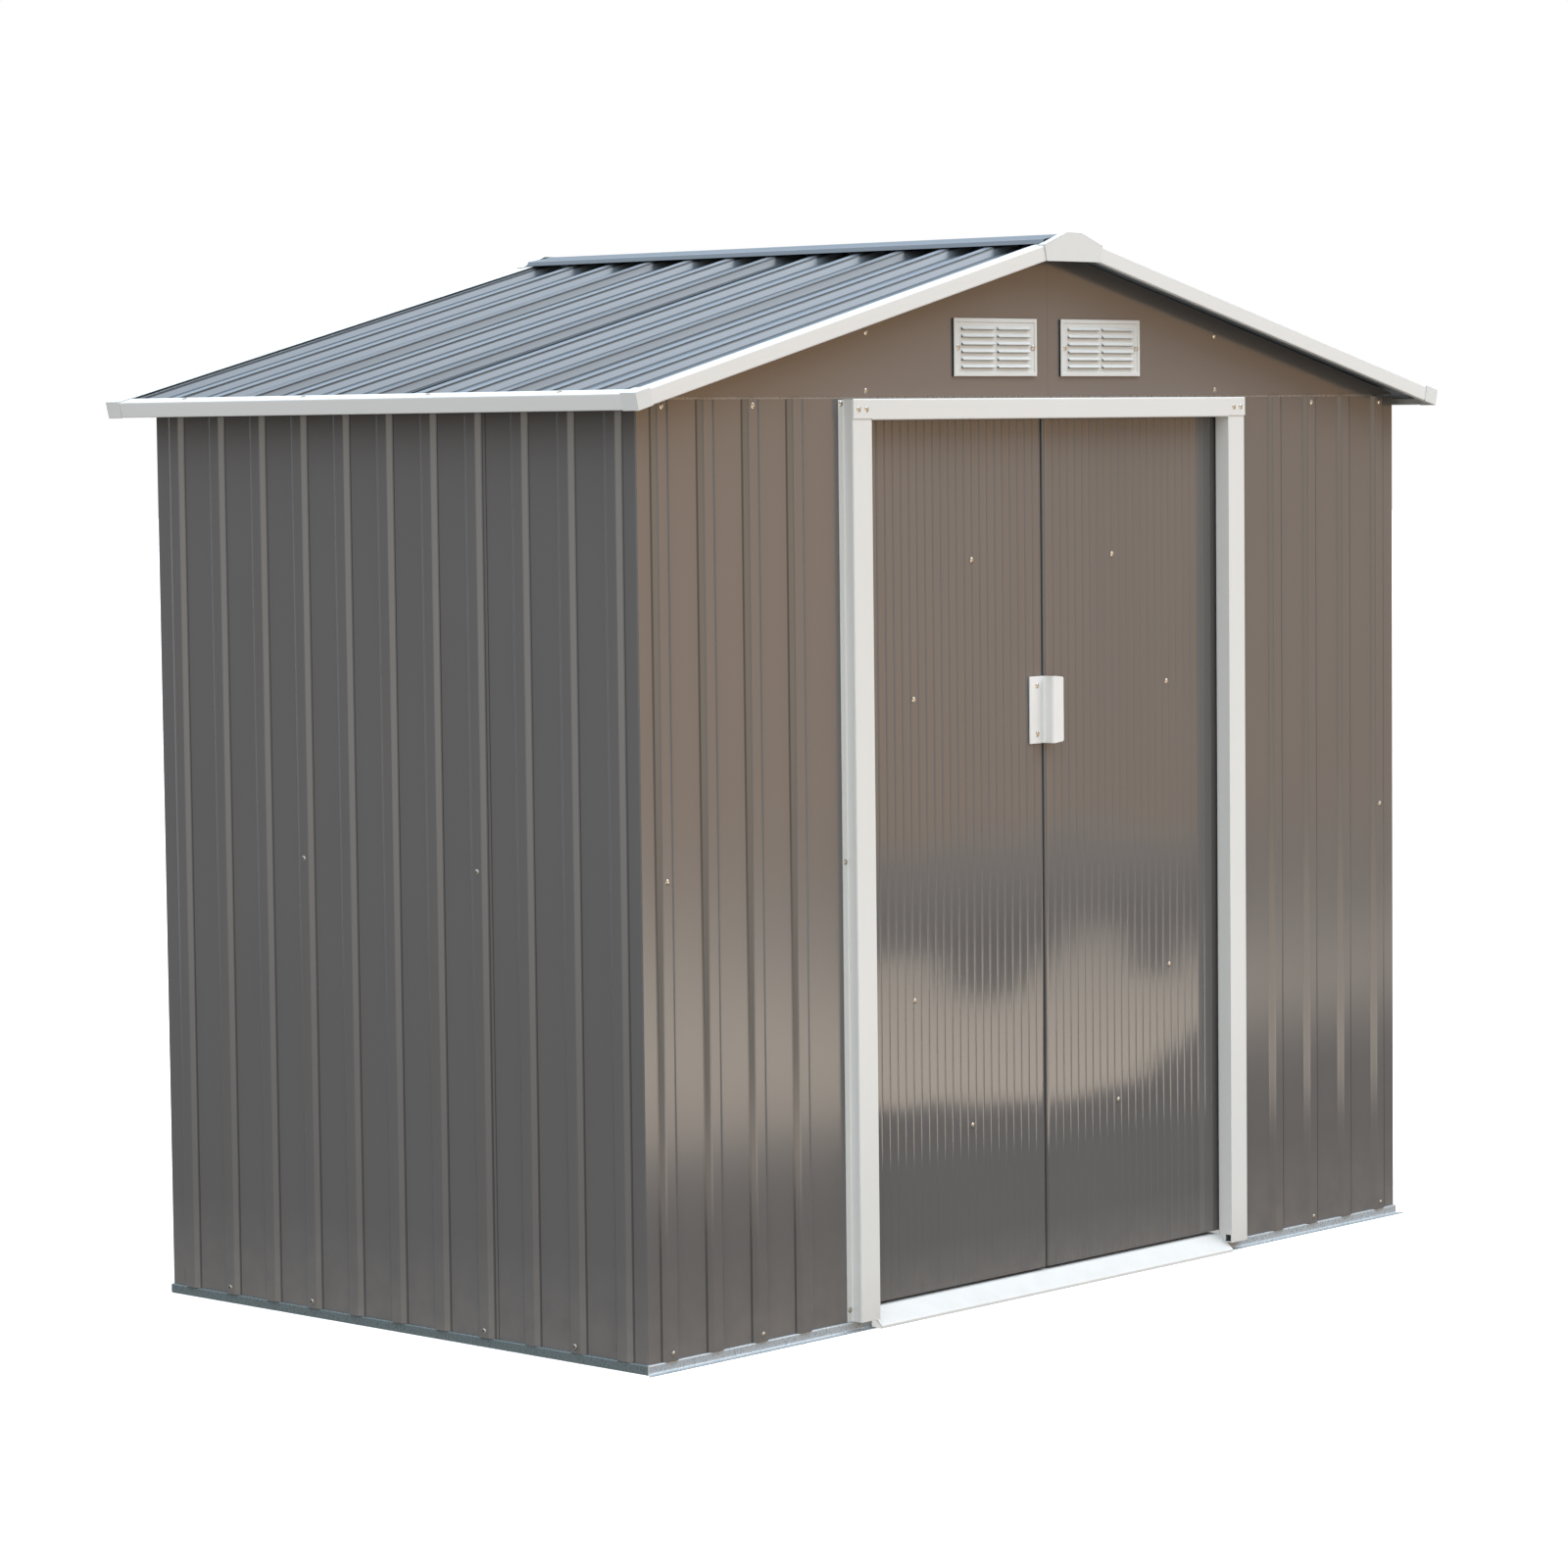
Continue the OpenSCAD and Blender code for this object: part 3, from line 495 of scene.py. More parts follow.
def jamb(place):
    """Jamb outline in two bent stretches, split at the slot, carried up through the slot's own rows. The one
    cell between the stretches in the slot's row is left open."""
    slot_s = jamb_proud - 2 * frame_t
    outer_part = bent([(-jamb_out - jamb_flange, seat + frame_t), (-jamb_out, seat + frame_t),
                       (-jamb_out, jamb_proud), (-jamb_in, jamb_proud), (-jamb_in, slot_s)], jamb_bend)
    inner_part = bent([(-jamb_in, slot_s - foot_slot), (-jamb_in, reveal_s),
                       (-jamb_in - jamb_return, reveal_s)], jamb_bend)
    line = np.vstack([outer_part, inner_part])
    rows = (wall_foot, sill_top - foot_slot, sill_top, wall_top - frame_t - seat)
    keep = np.ones((len(rows) - 1, len(line) - 1), bool)
    keep[1, len(outer_part) - 1] = False
    return thick(carried(line, rows, 2, place), carried(shifted(line, -frame_t), rows, 2, place), keep)


piece("left_jamb", [jamb(front)], white_paint, "shed", "white_paint", "door_jamb_left")
piece("right_jamb", [jamb(front_flipped)], white_paint, "shed", "white_paint", "door_jamb_right")
header_line = bent([(seat, wall_top), (header_s, wall_top), (header_s, header_low), (reveal_s, header_low)],
                   jamb_bend)
header_ends = (-jamb_out, seat - jamb_in, jamb_in - seat, jamb_out)
soffit_cell = np.argmax(header_line[:, 1] <= header_low + jamb_bend)
header_keep = np.ones((3, len(header_line) - 1), bool)
header_keep[[0, 2], soffit_cell:] = False
header = thick(carried(header_line, header_ends, 0, front),
               carried(shifted(header_line, -frame_t), header_ends, 0, front), header_keep)
piece("doorway_header", [header], white_paint, "shed", "white_paint", "door_header")


# Gable sheets: flat painted triangles above the front and back walls, one under each slope, cut out behind
# their vents and screwed to the top rails.
roof_slope = math.radians(14)
ridge_rise = 0.0018
ridge_line_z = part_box("ridge_cap")[1].z - ridge_rise
gable_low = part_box("front_gable_left")[0].z
gable_half = -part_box("front_gable_left")[0].x
gable_mid = -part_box("front_gable_left")[1].x
gable_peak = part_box("front_gable_left")[1].z
vent_low, vent_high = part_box("front_vents")
vent_w = 0.216
vent_gap = vent_high.x - vent_w
vent_cut = 0.010
gable_row_shares = np.array([0, 0.35, 0.7, 1])


def gable(place):
    """Flat grid in four columns and four rows, with the rows bent to the vent's opening: at each column the
    rows run from the lower edge to the roof line, and the middle cell is left open."""
    columns = np.array([-gable_half, vent_cut - vent_gap - vent_w, -vent_gap - vent_cut, -gable_mid])
    top = gable_peak - (np.abs(columns) - gable_mid) * math.tan(roof_slope)
    rows = gable_low + gable_row_shares[:, None] * (top - gable_low)
    rows[1, 1:3] = vent_low.z + vent_cut
    rows[2, 1:3] = vent_high.z - vent_cut
    flat = np.stack([np.broadcast_to(columns, rows.shape), np.zeros(rows.shape), rows], -1)
    keep = np.ones((3, 3), bool)
    keep[1, 1] = False
    return thick(place(flat), place(flat - [0, sheet_t, 0]), keep)


for name, place in (("front_gable_left", front), ("front_gable_right", front_flipped),
                    ("back_gable_left", back), ("back_gable_right", back_flipped)):
    piece(name + "_sheet", [gable(place)], wall_paint, "shed", "wall_paint", name)


# Gable vents: moulded white plastic grilles with two columns of louvres, each blade sloping out and down
# over its slot, inside a raised rim. One screw at each end holds a vent to the gable.
vent_h = vent_high.z - vent_low.z
vent_t = 0.004
vent_panel_t = 0.0025
vent_rim = 0.007
vent_round = 0.0008
rim_seat = 0.0002
vent_margin = 0.020
vent_bar = 0.009
vent_edge = 0.0135
vent_rows = 6
slot_h = 0.006
blade_t = 0.0016
blade_reach = 0.004
blade_flap = 0.004
blade_inset = 0.0004
blade_bend = 0.003
mould_spread = 0.12
plastic_colour = (0.68, 0.69, 0.67, 1)
plastic_shade = (0.64, 0.65, 0.63, 1)


def moulded(name, colour, shade, gloss):
    """Injection-moulded plastic: a slight clouding of its colour and gloss, and a fine spark-eroded grain."""
    material, tree = new_material(name)
    spot = node(tree, "ShaderNodeTexCoord").outputs["Object"]
    cloud = noise(tree, spot, 30.0, 4.0)
    grain = shared(tree, fine_peel, "Height", Scale=1800.0)
    relief = node(tree, "ShaderNodeBump", {"Height": grain, "Strength": 0.2, "Distance": 0.00005})
    return finished(material, {"Base Color": colour_mix(tree, cloud, shade, colour),
                               "Roughness": ramped(tree, cloud, 0.0, 1.0, gloss, gloss + mould_spread),
                               "Normal": relief.outputs["Normal"], "IOR": 1.47})


white_plastic = moulded("white_plastic", plastic_colour, plastic_shade, gloss=0.32)


def vent(place):
    """Plate, rim and blades. The plate is a flat grid whose slot cells are left open, the rim is a band with
    round edges taken round the plate, and each blade is a bent strip carried along its slot."""
    slot_w = (vent_w - 2 * vent_margin - vent_bar) / 2
    columns = vent_gap + np.array([0, vent_margin, vent_margin + slot_w, vent_margin + slot_w + vent_bar,
                                   vent_w - vent_margin, vent_w])
    pitch = (vent_h - 2 * vent_edge - slot_h) / (vent_rows - 1)
    slots = vent_low.z + vent_edge + pitch * np.arange(vent_rows)
    rows = np.r_[vent_low.z, np.column_stack([slots, slots + slot_h]).ravel(), vent_high.z]
    across, up = np.meshgrid(columns, rows)
    flat = np.stack([across, np.full(up.shape, seat + vent_panel_t), up], -1)
    keep = np.ones((len(rows) - 1, len(columns) - 1), bool)
    keep[1:-1:2, [1, 3]] = False
    parts = [thick(place(flat), place(flat - [0, vent_panel_t, 0]), keep)]
    ring = np.array([(0, 0), (1, 0), (1, 1), (0, 1), (0, 0)])
    inset = np.array([0, 0, vent_round, vent_rim - vent_round, vent_rim])
    proud = np.array([0, vent_t - vent_round, vent_t, vent_t, vent_panel_t]) + seat
    inward = 1 - 2 * ring
    rim = np.empty((len(inset), len(ring), 3))
    rim[..., 0] = vent_gap + ring[:, 0] * vent_w + np.multiply.outer(inset, inward[:, 0])
    rim[..., 2] = vent_low.z + ring[:, 1] * vent_h + np.multiply.outer(inset, inward[:, 1])
    rim[..., 1] = proud[:, None]
    rim_back = rim.copy()
    rim_back[..., 1] = seat + rim_seat
    parts.append(thick(place(rim), place(rim_back)))
    for start in (columns[1], columns[3]):
        for low in slots:
            blade = [(seat + blade_inset, low + slot_h + blade_flap), (seat + blade_inset, low + slot_h),
                     (seat + vent_panel_t + blade_reach, low + blade_inset)]
            parts.append(folded(blade, blade_t, blade_bend, (start, start + slot_w), 0, place))
    return parts


piece("front_vent_grilles", vent(front) + vent(front_flipped), white_plastic, "shed", "white_plastic",
      "front_vents")
piece("back_vent_grilles", vent(back) + vent(back_flipped), white_plastic, "shed", "white_plastic",
      "back_vents")


# Roof frame: a galvanised ridge beam between the gables and a purlin half way down each slope, which the
# roof sheets are screwed to.
dressed(shaded_inner_zinc, "galvanised", "ridge_beam", "roof_purlins")


# Roof sheets: ribbed steel in slate grey, four narrow ones on each slope, with ribs nearly twice as tall as
# the walls'. Every other sheet lies lower and its neighbours lap over its outer ribs. Screws hold them down,
# and painted shade darkens the ribs' bends, most at the laps, where the flanks and creases fall in shadow.
trim_t = 0.001
eave_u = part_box("eave_trims")[1].x / math.cos(roof_slope)
trim_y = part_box("back_gable_trims")[1].y
roof_edge = trim_y - trim_t - seat
roof_pitch = 0.101
roof_rib_depth = 0.013
roof_ribs = 6
roof_lap = 3
roof_bends = (0.003, 0.0065, 0.003, 0.003)
# Painted shade at each rib's front foot, front shoulder, rear shoulder and rear foot, darker on the lapped
# ribs and spread over their flats.
roof_crease_shadow = (0.40, 1.00, 0.10, 0.10)
lap_crease_shadow = (0.60, 1.00, 0.80, 0.60)
lap_spread = 0.65
flank = (rib_base - rib_crest) / 2
roof_step = (sheet_t + seat) * math.hypot(flank, roof_rib_depth) / flank
ridge_gap = 0.014
slate = (0.118, 0.142, 0.165, 1)
slate_dull = (0.108, 0.131, 0.152, 1)
roof_paint = painted("slate_roof_paint", slate, slate_dull, gloss=0.30, wave=0.0010, streak=0.00004,
                     dust_height=0.01)
run, rise = math.cos(roof_slope), math.sin(roof_slope)
left_slope = placed((0, 0, ridge_line_z), (-run, 0, -rise), (0, 1, 0), (-rise, 0, run))
right_slope = placed((0, 0, ridge_line_z), (run, 0, -rise), (0, 1, 0), (rise, 0, run))


def roof_sheet(first, last, drop, place):
    """Ribbed outline across the slope from one rib to another, with an edge past a lapped rib, carried from
    the ridge gap down to the eave trim's face. Returns the sheet and its painted shade, which spreads over a
    lap."""
    ribs = np.arange(first, last + 1)
    lapped = (ribs % roof_lap == 0) & (abs(ribs) < roof_ribs)
    start = -roof_edge if first == -roof_ribs else roof_pitch * first - lap_half
    end = roof_edge if last == roof_ribs else roof_pitch * last + lap_half
    line = ribbed(start, end, -trim_t - seat - roof_rib_depth - drop, roof_pitch * ribs, roof_rib_depth)
    bends = np.tile(roof_bends, len(ribs))[:, None]
    part = folded(line, -sheet_t, bends, (ridge_gap, eave_u - trim_t - seat), 0, place)
    marks = np.where(lapped[:, None], lap_crease_shadow, roof_crease_shadow).ravel()
    return part, crease_shadow_per_point(marks, lap_spread * np.repeat(lapped, rib_corners))


for side, slope in (("left", left_slope), ("right", right_slope)):
    for half, first in (("front", -roof_ribs), ("rear", 0)):
        outer, outer_shadow = roof_sheet(first, first + roof_lap, 0, slope)
        inner, inner_shadow = roof_sheet(first + roof_lap, first + 2 * roof_lap, roof_step, slope)
        store_crease_shadow(piece(f"roof_{side}_{half}_sheet", [outer, inner], roof_paint, "shed", "roof_paint",
                     f"roof_{side}_{half}"), outer_shadow, inner_shadow)


# Ridge cap: one slate sheet folded over both slopes, with a flat top and steep edges that rest on the gable
# trims and leave the ribs' hollows open below it.
ridge_half = 0.068
ridge_flat = 0.008
ridge_fold = 0.008
ridge_lean = 0.005
ridge_bend = 0.004
cap_edge_z = ridge_line_z - ridge_half * math.tan(roof_slope) + seat / math.cos(roof_slope) + trim_t
ridge_corners = [(-ridge_half, cap_edge_z), (ridge_lean - ridge_half, cap_edge_z + ridge_fold),
                 (-ridge_flat, ridge_line_z + ridge_rise), (ridge_flat, ridge_line_z + ridge_rise),
                 (ridge_half - ridge_lean, cap_edge_z + ridge_fold), (ridge_half, cap_edge_z)]
upright = placed((0, 0, 0), (1, 0, 0), (0, 1, 0), (0, 0, 1))
ridge_ends = (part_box("ridge_cap")[0].y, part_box("ridge_cap")[1].y)
ridge_sheet = folded(ridge_corners, -trim_t, ridge_bend, ridge_ends, 1, upright)
piece("ridge_capping", [ridge_sheet], roof_paint, "shed", "roof_paint", "ridge_cap")


# Roof trims: white strips folded round the edges of the roof sheets, along both eaves and up the gables, with
# an upper flange on the sheets, a face square to the slope and a lower lip.
trim_face = 0.027
trim_flange = 0.028
trim_lip = 0.008
trim_gap = 0.022
trim_bend = 0.0022


def trim_line(edge):
    """Outline of a trim about its outer edge: flange, face and lip."""
    return [(edge - trim_flange, 0), (edge, 0), (edge, -trim_face), (edge - trim_lip, -trim_face)]


eave_half = trim_y - trim_flange - seat
gable_run = (trim_gap, eave_u - trim_t - seat)
slopes = (left_slope, right_slope)
piece("eave_strips", [folded(trim_line(eave_u), -trim_t, trim_bend, (-eave_half, eave_half), 1, slope)
                      for slope in slopes], white_paint, "shed", "white_paint", "eave_trims")
mirrored = [(-y, v) for y, v in trim_line(trim_y)]
piece("front_gable_strips", [folded(mirrored, trim_t, trim_bend, gable_run, 0, slope) for slope in slopes],
      white_paint, "shed", "white_paint", "front_gable_trims")
piece("back_gable_strips", [folded(trim_line(trim_y), -trim_t, trim_bend, gable_run, 0, slope)
                            for slope in slopes], white_paint, "shed", "white_paint", "back_gable_trims")


# Roof caps: white plastic covers pushed over the trims' ends. A three-sided one closes each lower corner, and
# a faced one closes each end of the ridge over the meeting of the gable trims.
cap_t = 0.0015
cap_out = seat + cap_t
cap_l = 0.034
cap_bevel = 0.0006
bevel_edge = math.radians(40)
end_cap_d = 0.014
end_cap_flat = 0.019
end_cap_half = 0.078
end_cap_h = 0.049
roof_half_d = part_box("roof_corner_caps")[1].y


def corner_cap(place, end):
    """Three square walls about one corner, as one grid of three by three points folded so that its far cell
    is left out: the top, the eave face and the gable face."""
    u, y, top, low = eave_u + cap_out, end * roof_half_d, cap_out, -trim_face - seat
    u_in, y_in = u - cap_l, end * (roof_half_d - cap_l)
    grid = np.array([[(u_in, y_in, top), (u, y_in, top), (u, y_in, low)],
                     [(u_in, y, top), (u, y, top), (u, y, low)],
                     [(u_in, y, low), (u, y, low), (u, y, low)]], float)
    inner = grid - [cap_t, 0, 0] * (grid[..., :1] == u)
    inner = inner - np.array([0, end * cap_t, 0]) * (grid[..., 1:2] == y)
    inner = inner - np.array([0, 0, cap_t]) * (grid[..., 2:] == top)
    keep = np.array([[True, True], [True, False]])
    return thick(place(grid), place(inner), keep)


def end_cap(end):
    """Band over the end of the ridge and a face that closes it: the face is a grid of two rows, from its
    lower edge up to the band's own outline."""
    top_z = ridge_line_z + ridge_rise + cap_out
    end_z = ridge_line_z - end_cap_half * math.tan(roof_slope) + cap_out / math.cos(roof_slope)
    low_z = top_z - end_cap_h
    low_half = end_cap_half - (end_z - low_z) * math.tan(roof_slope)
    line = [(-end_cap_half, end_z), (-end_cap_flat, top_z), (end_cap_flat, top_z), (end_cap_half, end_z)]
    stations = np.sort([end * (roof_half_d - end_cap_d), end * roof_half_d])
    band = folded(line, -cap_t, ridge_bend, stations, 1, upright)
    top = bent(line, ridge_bend)
    low = np.column_stack([top[:, 0] * low_half / end_cap_half, np.full(len(top), low_z)])
    face = np.stack([low, top])
    flat = np.stack([face[..., 0], np.full(face.shape[:2], end * roof_half_d), face[..., 1]], -1)
    return [band, thick(flat, flat - [0, end * cap_t, 0])]


def softened(made, width):
    """Moulded edges: a small two-step bevel on every edge over 40 degrees."""
    bevel = made.modifiers.new("moulded_edges", "BEVEL")
    bevel.width, bevel.segments, bevel.limit_method = width, 2, "ANGLE"
    bevel.angle_limit = bevel_edge
    bevel.harden_normals = True


corner_covers = piece("corner_covers", [corner_cap(slope, end) for slope in slopes for end in (-1, 1)],
                      white_plastic, "shed", "white_plastic", "roof_corner_caps")
softened(corner_covers, cap_bevel)
softened(piece("ridge_end_covers", end_cap(-1) + end_cap(1), white_plastic, "shed", "white_plastic",
               "ridge_end_caps"), cap_bevel)


# Doors: two glossy painted sheets with fine upright flutes, folded back at the sides and closed by a strip
# across the top and bottom. They hang from plastic sliders that run in the channel over the doorway.
door_low, door_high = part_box("left_door")
door_s = -door_low.y - wall_half_d
door_back = -door_high.y - wall_half_d
flute_pitch = 0.020
flute_w = 0.004
flute_depth = 0.0006
flute_margin = 0.018
flute_bend = 0.006
slider_dark = (0.020, 0.021, 0.023, 1)
slider_grey = (0.035, 0.036, 0.038, 1)
door_paint = painted("taupe_door_paint", taupe, taupe_dull, gloss=0.035, wave=0.0022, streak=0.00010,
                     dust_height=0.12)


def door_skin(place):
    """Door outline with a bent ridge for each flute, carried from the door's foot to its top, and the two
    strips that close it above and below."""
    outer, inner, low_s = door_low.x, door_high.x, door_s - flute_depth
    count = int((inner - outer - 2 * flute_margin - flute_w) / flute_pitch)
    middles = (outer + inner) / 2 + flute_pitch * (np.arange(count + 1) - count / 2)
    along = np.add.outer(middles, [-flute_w / 2, 0, flute_w / 2]).ravel()
    out = np.tile([low_s, door_s, low_s], len(middles))
    line = np.vstack([[(outer, door_back), (outer, low_s)], np.column_stack([along, out]),
                      [(inner, low_s), (inner, door_back)]])
    parts = [folded(line, -sheet_t, flute_bend, (door_low.z, door_high.z), 2, place)]
    for z in (door_low.z, door_high.z - sheet_t):
        strip = np.array([(outer + sheet_t, door_back), (inner - sheet_t, door_back),
                          (inner - sheet_t, low_s - sheet_t), (outer + sheet_t, low_s - sheet_t)])
        flat = np.column_stack([strip, np.full(4, z)])[[[0, 1], [3, 2]]]
        parts.append(thick(place(flat), place(flat + [0, 0, sheet_t])))
    return parts


piece("left_door_leaf", door_skin(front), door_paint, "left_door", "wall_paint", "left_door")
piece("right_door_leaf", door_skin(front_flipped), door_paint, "right_door", "wall_paint", "right_door")
slider_plastic = moulded("dark_slider_plastic", slider_grey, slider_dark, gloss=0.4)
dressed(slider_plastic, "slider_plastic", "left_door_sliders", "right_door_sliders")


# Door handle: one white plastic moulding, a plate screwed to the left door and a grip that stands off it and
# reaches over the meeting line, with its free corners rounded.
handle_low, handle_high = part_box("door_handle")
handle_t = 0.0025
handle_bend = 0.005
handle_hook = 0.007
handle_round = 0.009
handle_steps = 9
handle_white = (0.79, 0.79, 0.77, 1)
handle_shade = (0.75, 0.75, 0.73, 1)
handle_s = -handle_low.y - wall_half_d
handle_foot_s = door_s + seat + handle_t


def handle():
    """Bent outline from the plate out to the grip and its rolled edge, carried up the handle. Near the grip's
    end the height falls by a quarter circle, so the free corners are round."""
    edge = handle_high.x
    line = bent([(handle_low.x, handle_foot_s), (door_high.x, handle_foot_s), (door_high.x, handle_s),
                 (edge, handle_s), (edge, handle_s - handle_hook)], handle_bend, handle_steps)
    middle, half = (handle_low.z + handle_high.z) / 2, (handle_high.z - handle_low.z) / 2
    rows = np.linspace(-1, 1, handle_steps)[:, None]

    def station(outline):
        past = np.clip((outline[:, 0] - edge + handle_round) / handle_round, 0, 1)
        return middle + rows * (half - handle_round * (1 - np.sqrt(1 - past ** 2)))

    other = shifted(line, -handle_t)
    return thick(carried(line, station(line), 2, front), carried(other, station(other), 2, front))


handle_plastic = moulded("handle_plastic", handle_white, handle_shade, gloss=0.28)
piece("pull_handle", [handle()], handle_plastic, "left_door", "white_plastic", "door_handle")


# Screws: zinc-plated steel with pan heads pressed over washers. They go through the wall sheets, the gables
# and the trims into the frame, and through the doors, the vents and the handle's plate.
screw_radii = np.array([0, 0.0028, 0.0036, 0.0047])
screw_heights = np.array([0.0024, 0.0017, 0.0006, 0.0002])
screw_sunk = 0.0002
screw_colour = (0.30, 0.27, 0.21, 1)
screw_pale = (0.46, 0.44, 0.40, 1)
low_screw, mid_screw, top_screw = 0.028, 0.777, wall_top - 0.010
flange_screws = (0.036, mid_screw, wall_top - 0.008)
header_screw_shares = np.array([0.30, 0.72])
gable_screws = [(-0.465, 0, gable_low + 0.105), (-0.466, 0, gable_low + 0.009)]
vent_screw = vent_margin / 2
eave_screw_in = 0.018
eave_screw_reach = 0.45
plate_screw = 0.016


def screw_metal(name):
    """Yellow-passivated zinc: tone from a coarse noise, so no two heads look quite alike."""
    material, tree = new_material(name)
    spot = node(tree, "ShaderNodeTexCoord").outputs["Object"]
    tone = noise(tree, spot, 40.0, 3.0)
    return finished(material, {"Base Color": colour_mix(tree, tone, screw_colour, screw_pale),
                               "Roughness": ramped(tree, tone, 0.0, 1.0, 0.2, 0.45), "Metallic": 0.9})


screw_zinc = screw_metal("screw_zinc")


def screw_heads(centres, out):
    """A closed head at each centre. One head is a square grid of points over a flat one, and their square
    rings become circles: a ring's radius and height come from the head's section, the place along it is the
    angle."""
    rings = len(screw_radii) - 1
    i, j = np.meshgrid(np.arange(-rings, rings + 1), np.arange(-rings, rings + 1), indexing="ij")
    ring = np.maximum(abs(i), abs(j))
    wide = abs(i) >= abs(j)
    tilt = np.where(wide, j / np.where(i == 0, 1, i), -i / np.where(j == 0, 1, j)) * np.pi / 4
    turn = tilt + np.where(wide, np.where(i < 0, np.pi, 0), np.where(j < 0, -np.pi / 2, np.pi / 2))
    out = np.array(out, float)
    across = np.cross(out, (0, 0, 1) if abs(out[2]) < 0.9 else (0, 1, 0))
    across = across / np.linalg.norm(across)
    radius = screw_radii[ring][..., None]
    flat = radius * (np.cos(turn)[..., None] * across + np.sin(turn)[..., None] * np.cross(out, across))
    points, faces = thick(flat + screw_heights[ring][..., None] * out, flat - screw_sunk * out)
    first = len(points) * np.arange(len(centres))
    all_points = np.asarray(centres)[:, None] + points
    return all_points.reshape(-1, 3), (first[:, None, None] + faces).reshape(-1, 4)


def wall_points(along, out, up):
    """All pairs of places along and up a wall, at one distance out of its pans."""
    a, z = np.meshgrid(along, up)
    return np.column_stack([a.ravel(), np.full(a.size, out), z.ravel()])


front_screw_ribs = front_rib_places[::2]
side_screw_ribs = rib_pitch * np.array([-4, -2, 2, 4])
back_screw_ribs = rib_pitch * np.array([-9, -7, -5, -3, -1])
vent_ends = (-vent_gap - vent_screw, vent_screw - vent_gap - vent_w)
vent_spots = wall_points(vent_ends, seat + vent_t, ((vent_low.z + vent_high.z) / 2,))
front_spots = np.vstack([
    wall_points(front_screw_ribs, rib_depth, (low_screw, top_screw)),
    wall_points(front_screw_ribs[:1], rib_depth, (mid_screw,)),
    gable_screws,
    wall_points((-jamb_out - jamb_flange / 2,), seat + frame_t, flange_screws),
    wall_points(-jamb_in - header_screw_shares * jamb_face, header_s, ((wall_top + header_low) / 2,)),
    vent_spots])
back_spots = np.vstack([wall_points(back_screw_ribs, rib_depth, (low_screw, mid_screw, top_screw)),
                        gable_screws, vent_spots])
side_spots = np.vstack([wall_points(side_screw_ribs, rib_depth, (low_screw,)),
                        wall_points(side_screw_ribs[1:3], rib_depth, (mid_screw,))])
eave_places = np.linspace(-eave_screw_reach, eave_screw_reach, 4)
eave_spots = wall_points((eave_u - eave_screw_in,), 0, eave_places)[:, [0, 2, 1]]
shed_screws = [
    screw_heads(front(front_spots), (0, -1, 0)), screw_heads(front_flipped(front_spots), (0, -1, 0)),
    screw_heads(back(back_spots), (0, 1, 0)), screw_heads(back_flipped(back_spots), (0, 1, 0)),
    screw_heads(left(side_spots), (-1, 0, 0)), screw_heads(right(side_spots), (1, 0, 0)),
    screw_heads(left_slope(eave_spots), (-rise, 0, run)),
    screw_heads(right_slope(eave_spots), (rise, 0, run))]
piece("shed_screws", shed_screws, screw_zinc, "shed", "galvanised")
door_spots = np.array([(-0.188, door_s, 1.261), (-0.339, door_s, 1.033), (-0.343, door_s, 0.530),
                       (-0.197, door_s, 0.304)])
plate_mid = (handle_low.x + door_high.x) / 2
handle_spots = wall_points((plate_mid,), handle_foot_s,
                           (handle_low.z + plate_screw, handle_high.z - plate_screw))
piece("left_door_screws", [screw_heads(front(np.vstack([door_spots, handle_spots])), (0, -1, 0))], screw_zinc,
      "left_door", "galvanised")
piece("right_door_screws", [screw_heads(front_flipped(door_spots), (0, -1, 0))], screw_zinc, "right_door",
      "galvanised")


# Stage: a wide pale floor, a sky that stands for soft boxes and dark cloths round the shed, one large soft
# light, and a strip on the floor that only reflections see. The camera stands at the left of the front, at
# eye height.
floor_half = 60.0
floor_colour = (0.86, 0.86, 0.86, 1)
floor_glow = 0.45
camera_turn = math.radians(-47.292)
camera_fall = math.radians(4.246)
camera_roll = math.radians(-0.641)
camera_place = (-6.336367, -5.802039, 1.485924)
camera_reach = 200.0
frame_pixels = 1600
focal_pixels = 4893.764
sensor = 36.0


def flat_stage(name, low, high, z, material):
    """Level rectangle from its two opposite corners."""
    x, y = np.array([low[0], high[0], high[0], low[0]]), np.array([low[1], low[1], high[1], high[1]])
    mesh = bpy.data.meshes.new(name)
    mesh.from_pydata(np.column_stack([x, y, np.full(4, z)]).tolist(), [], [(0, 1, 2, 3)])
    mesh.materials.append(material)
    made = bpy.data.objects.new(name, mesh)
    bpy.context.scene.collection.objects.link(made)
    return made


floor_material = new_material("pale_floor")[0]
finished(floor_material, {"Base Color": floor_colour, "Roughness": 1.0, "Specular IOR Level": 0.0,
                          "Emission Color": (1, 1, 1, 1), "Emission Strength": floor_glow})
floor_material.cycles.emission_sampling = "NONE"
floor = flat_stage("floor", (-floor_half, -floor_half), (floor_half, floor_half), 0.0, floor_material)
floor.visible_glossy = floor.visible_diffuse = False

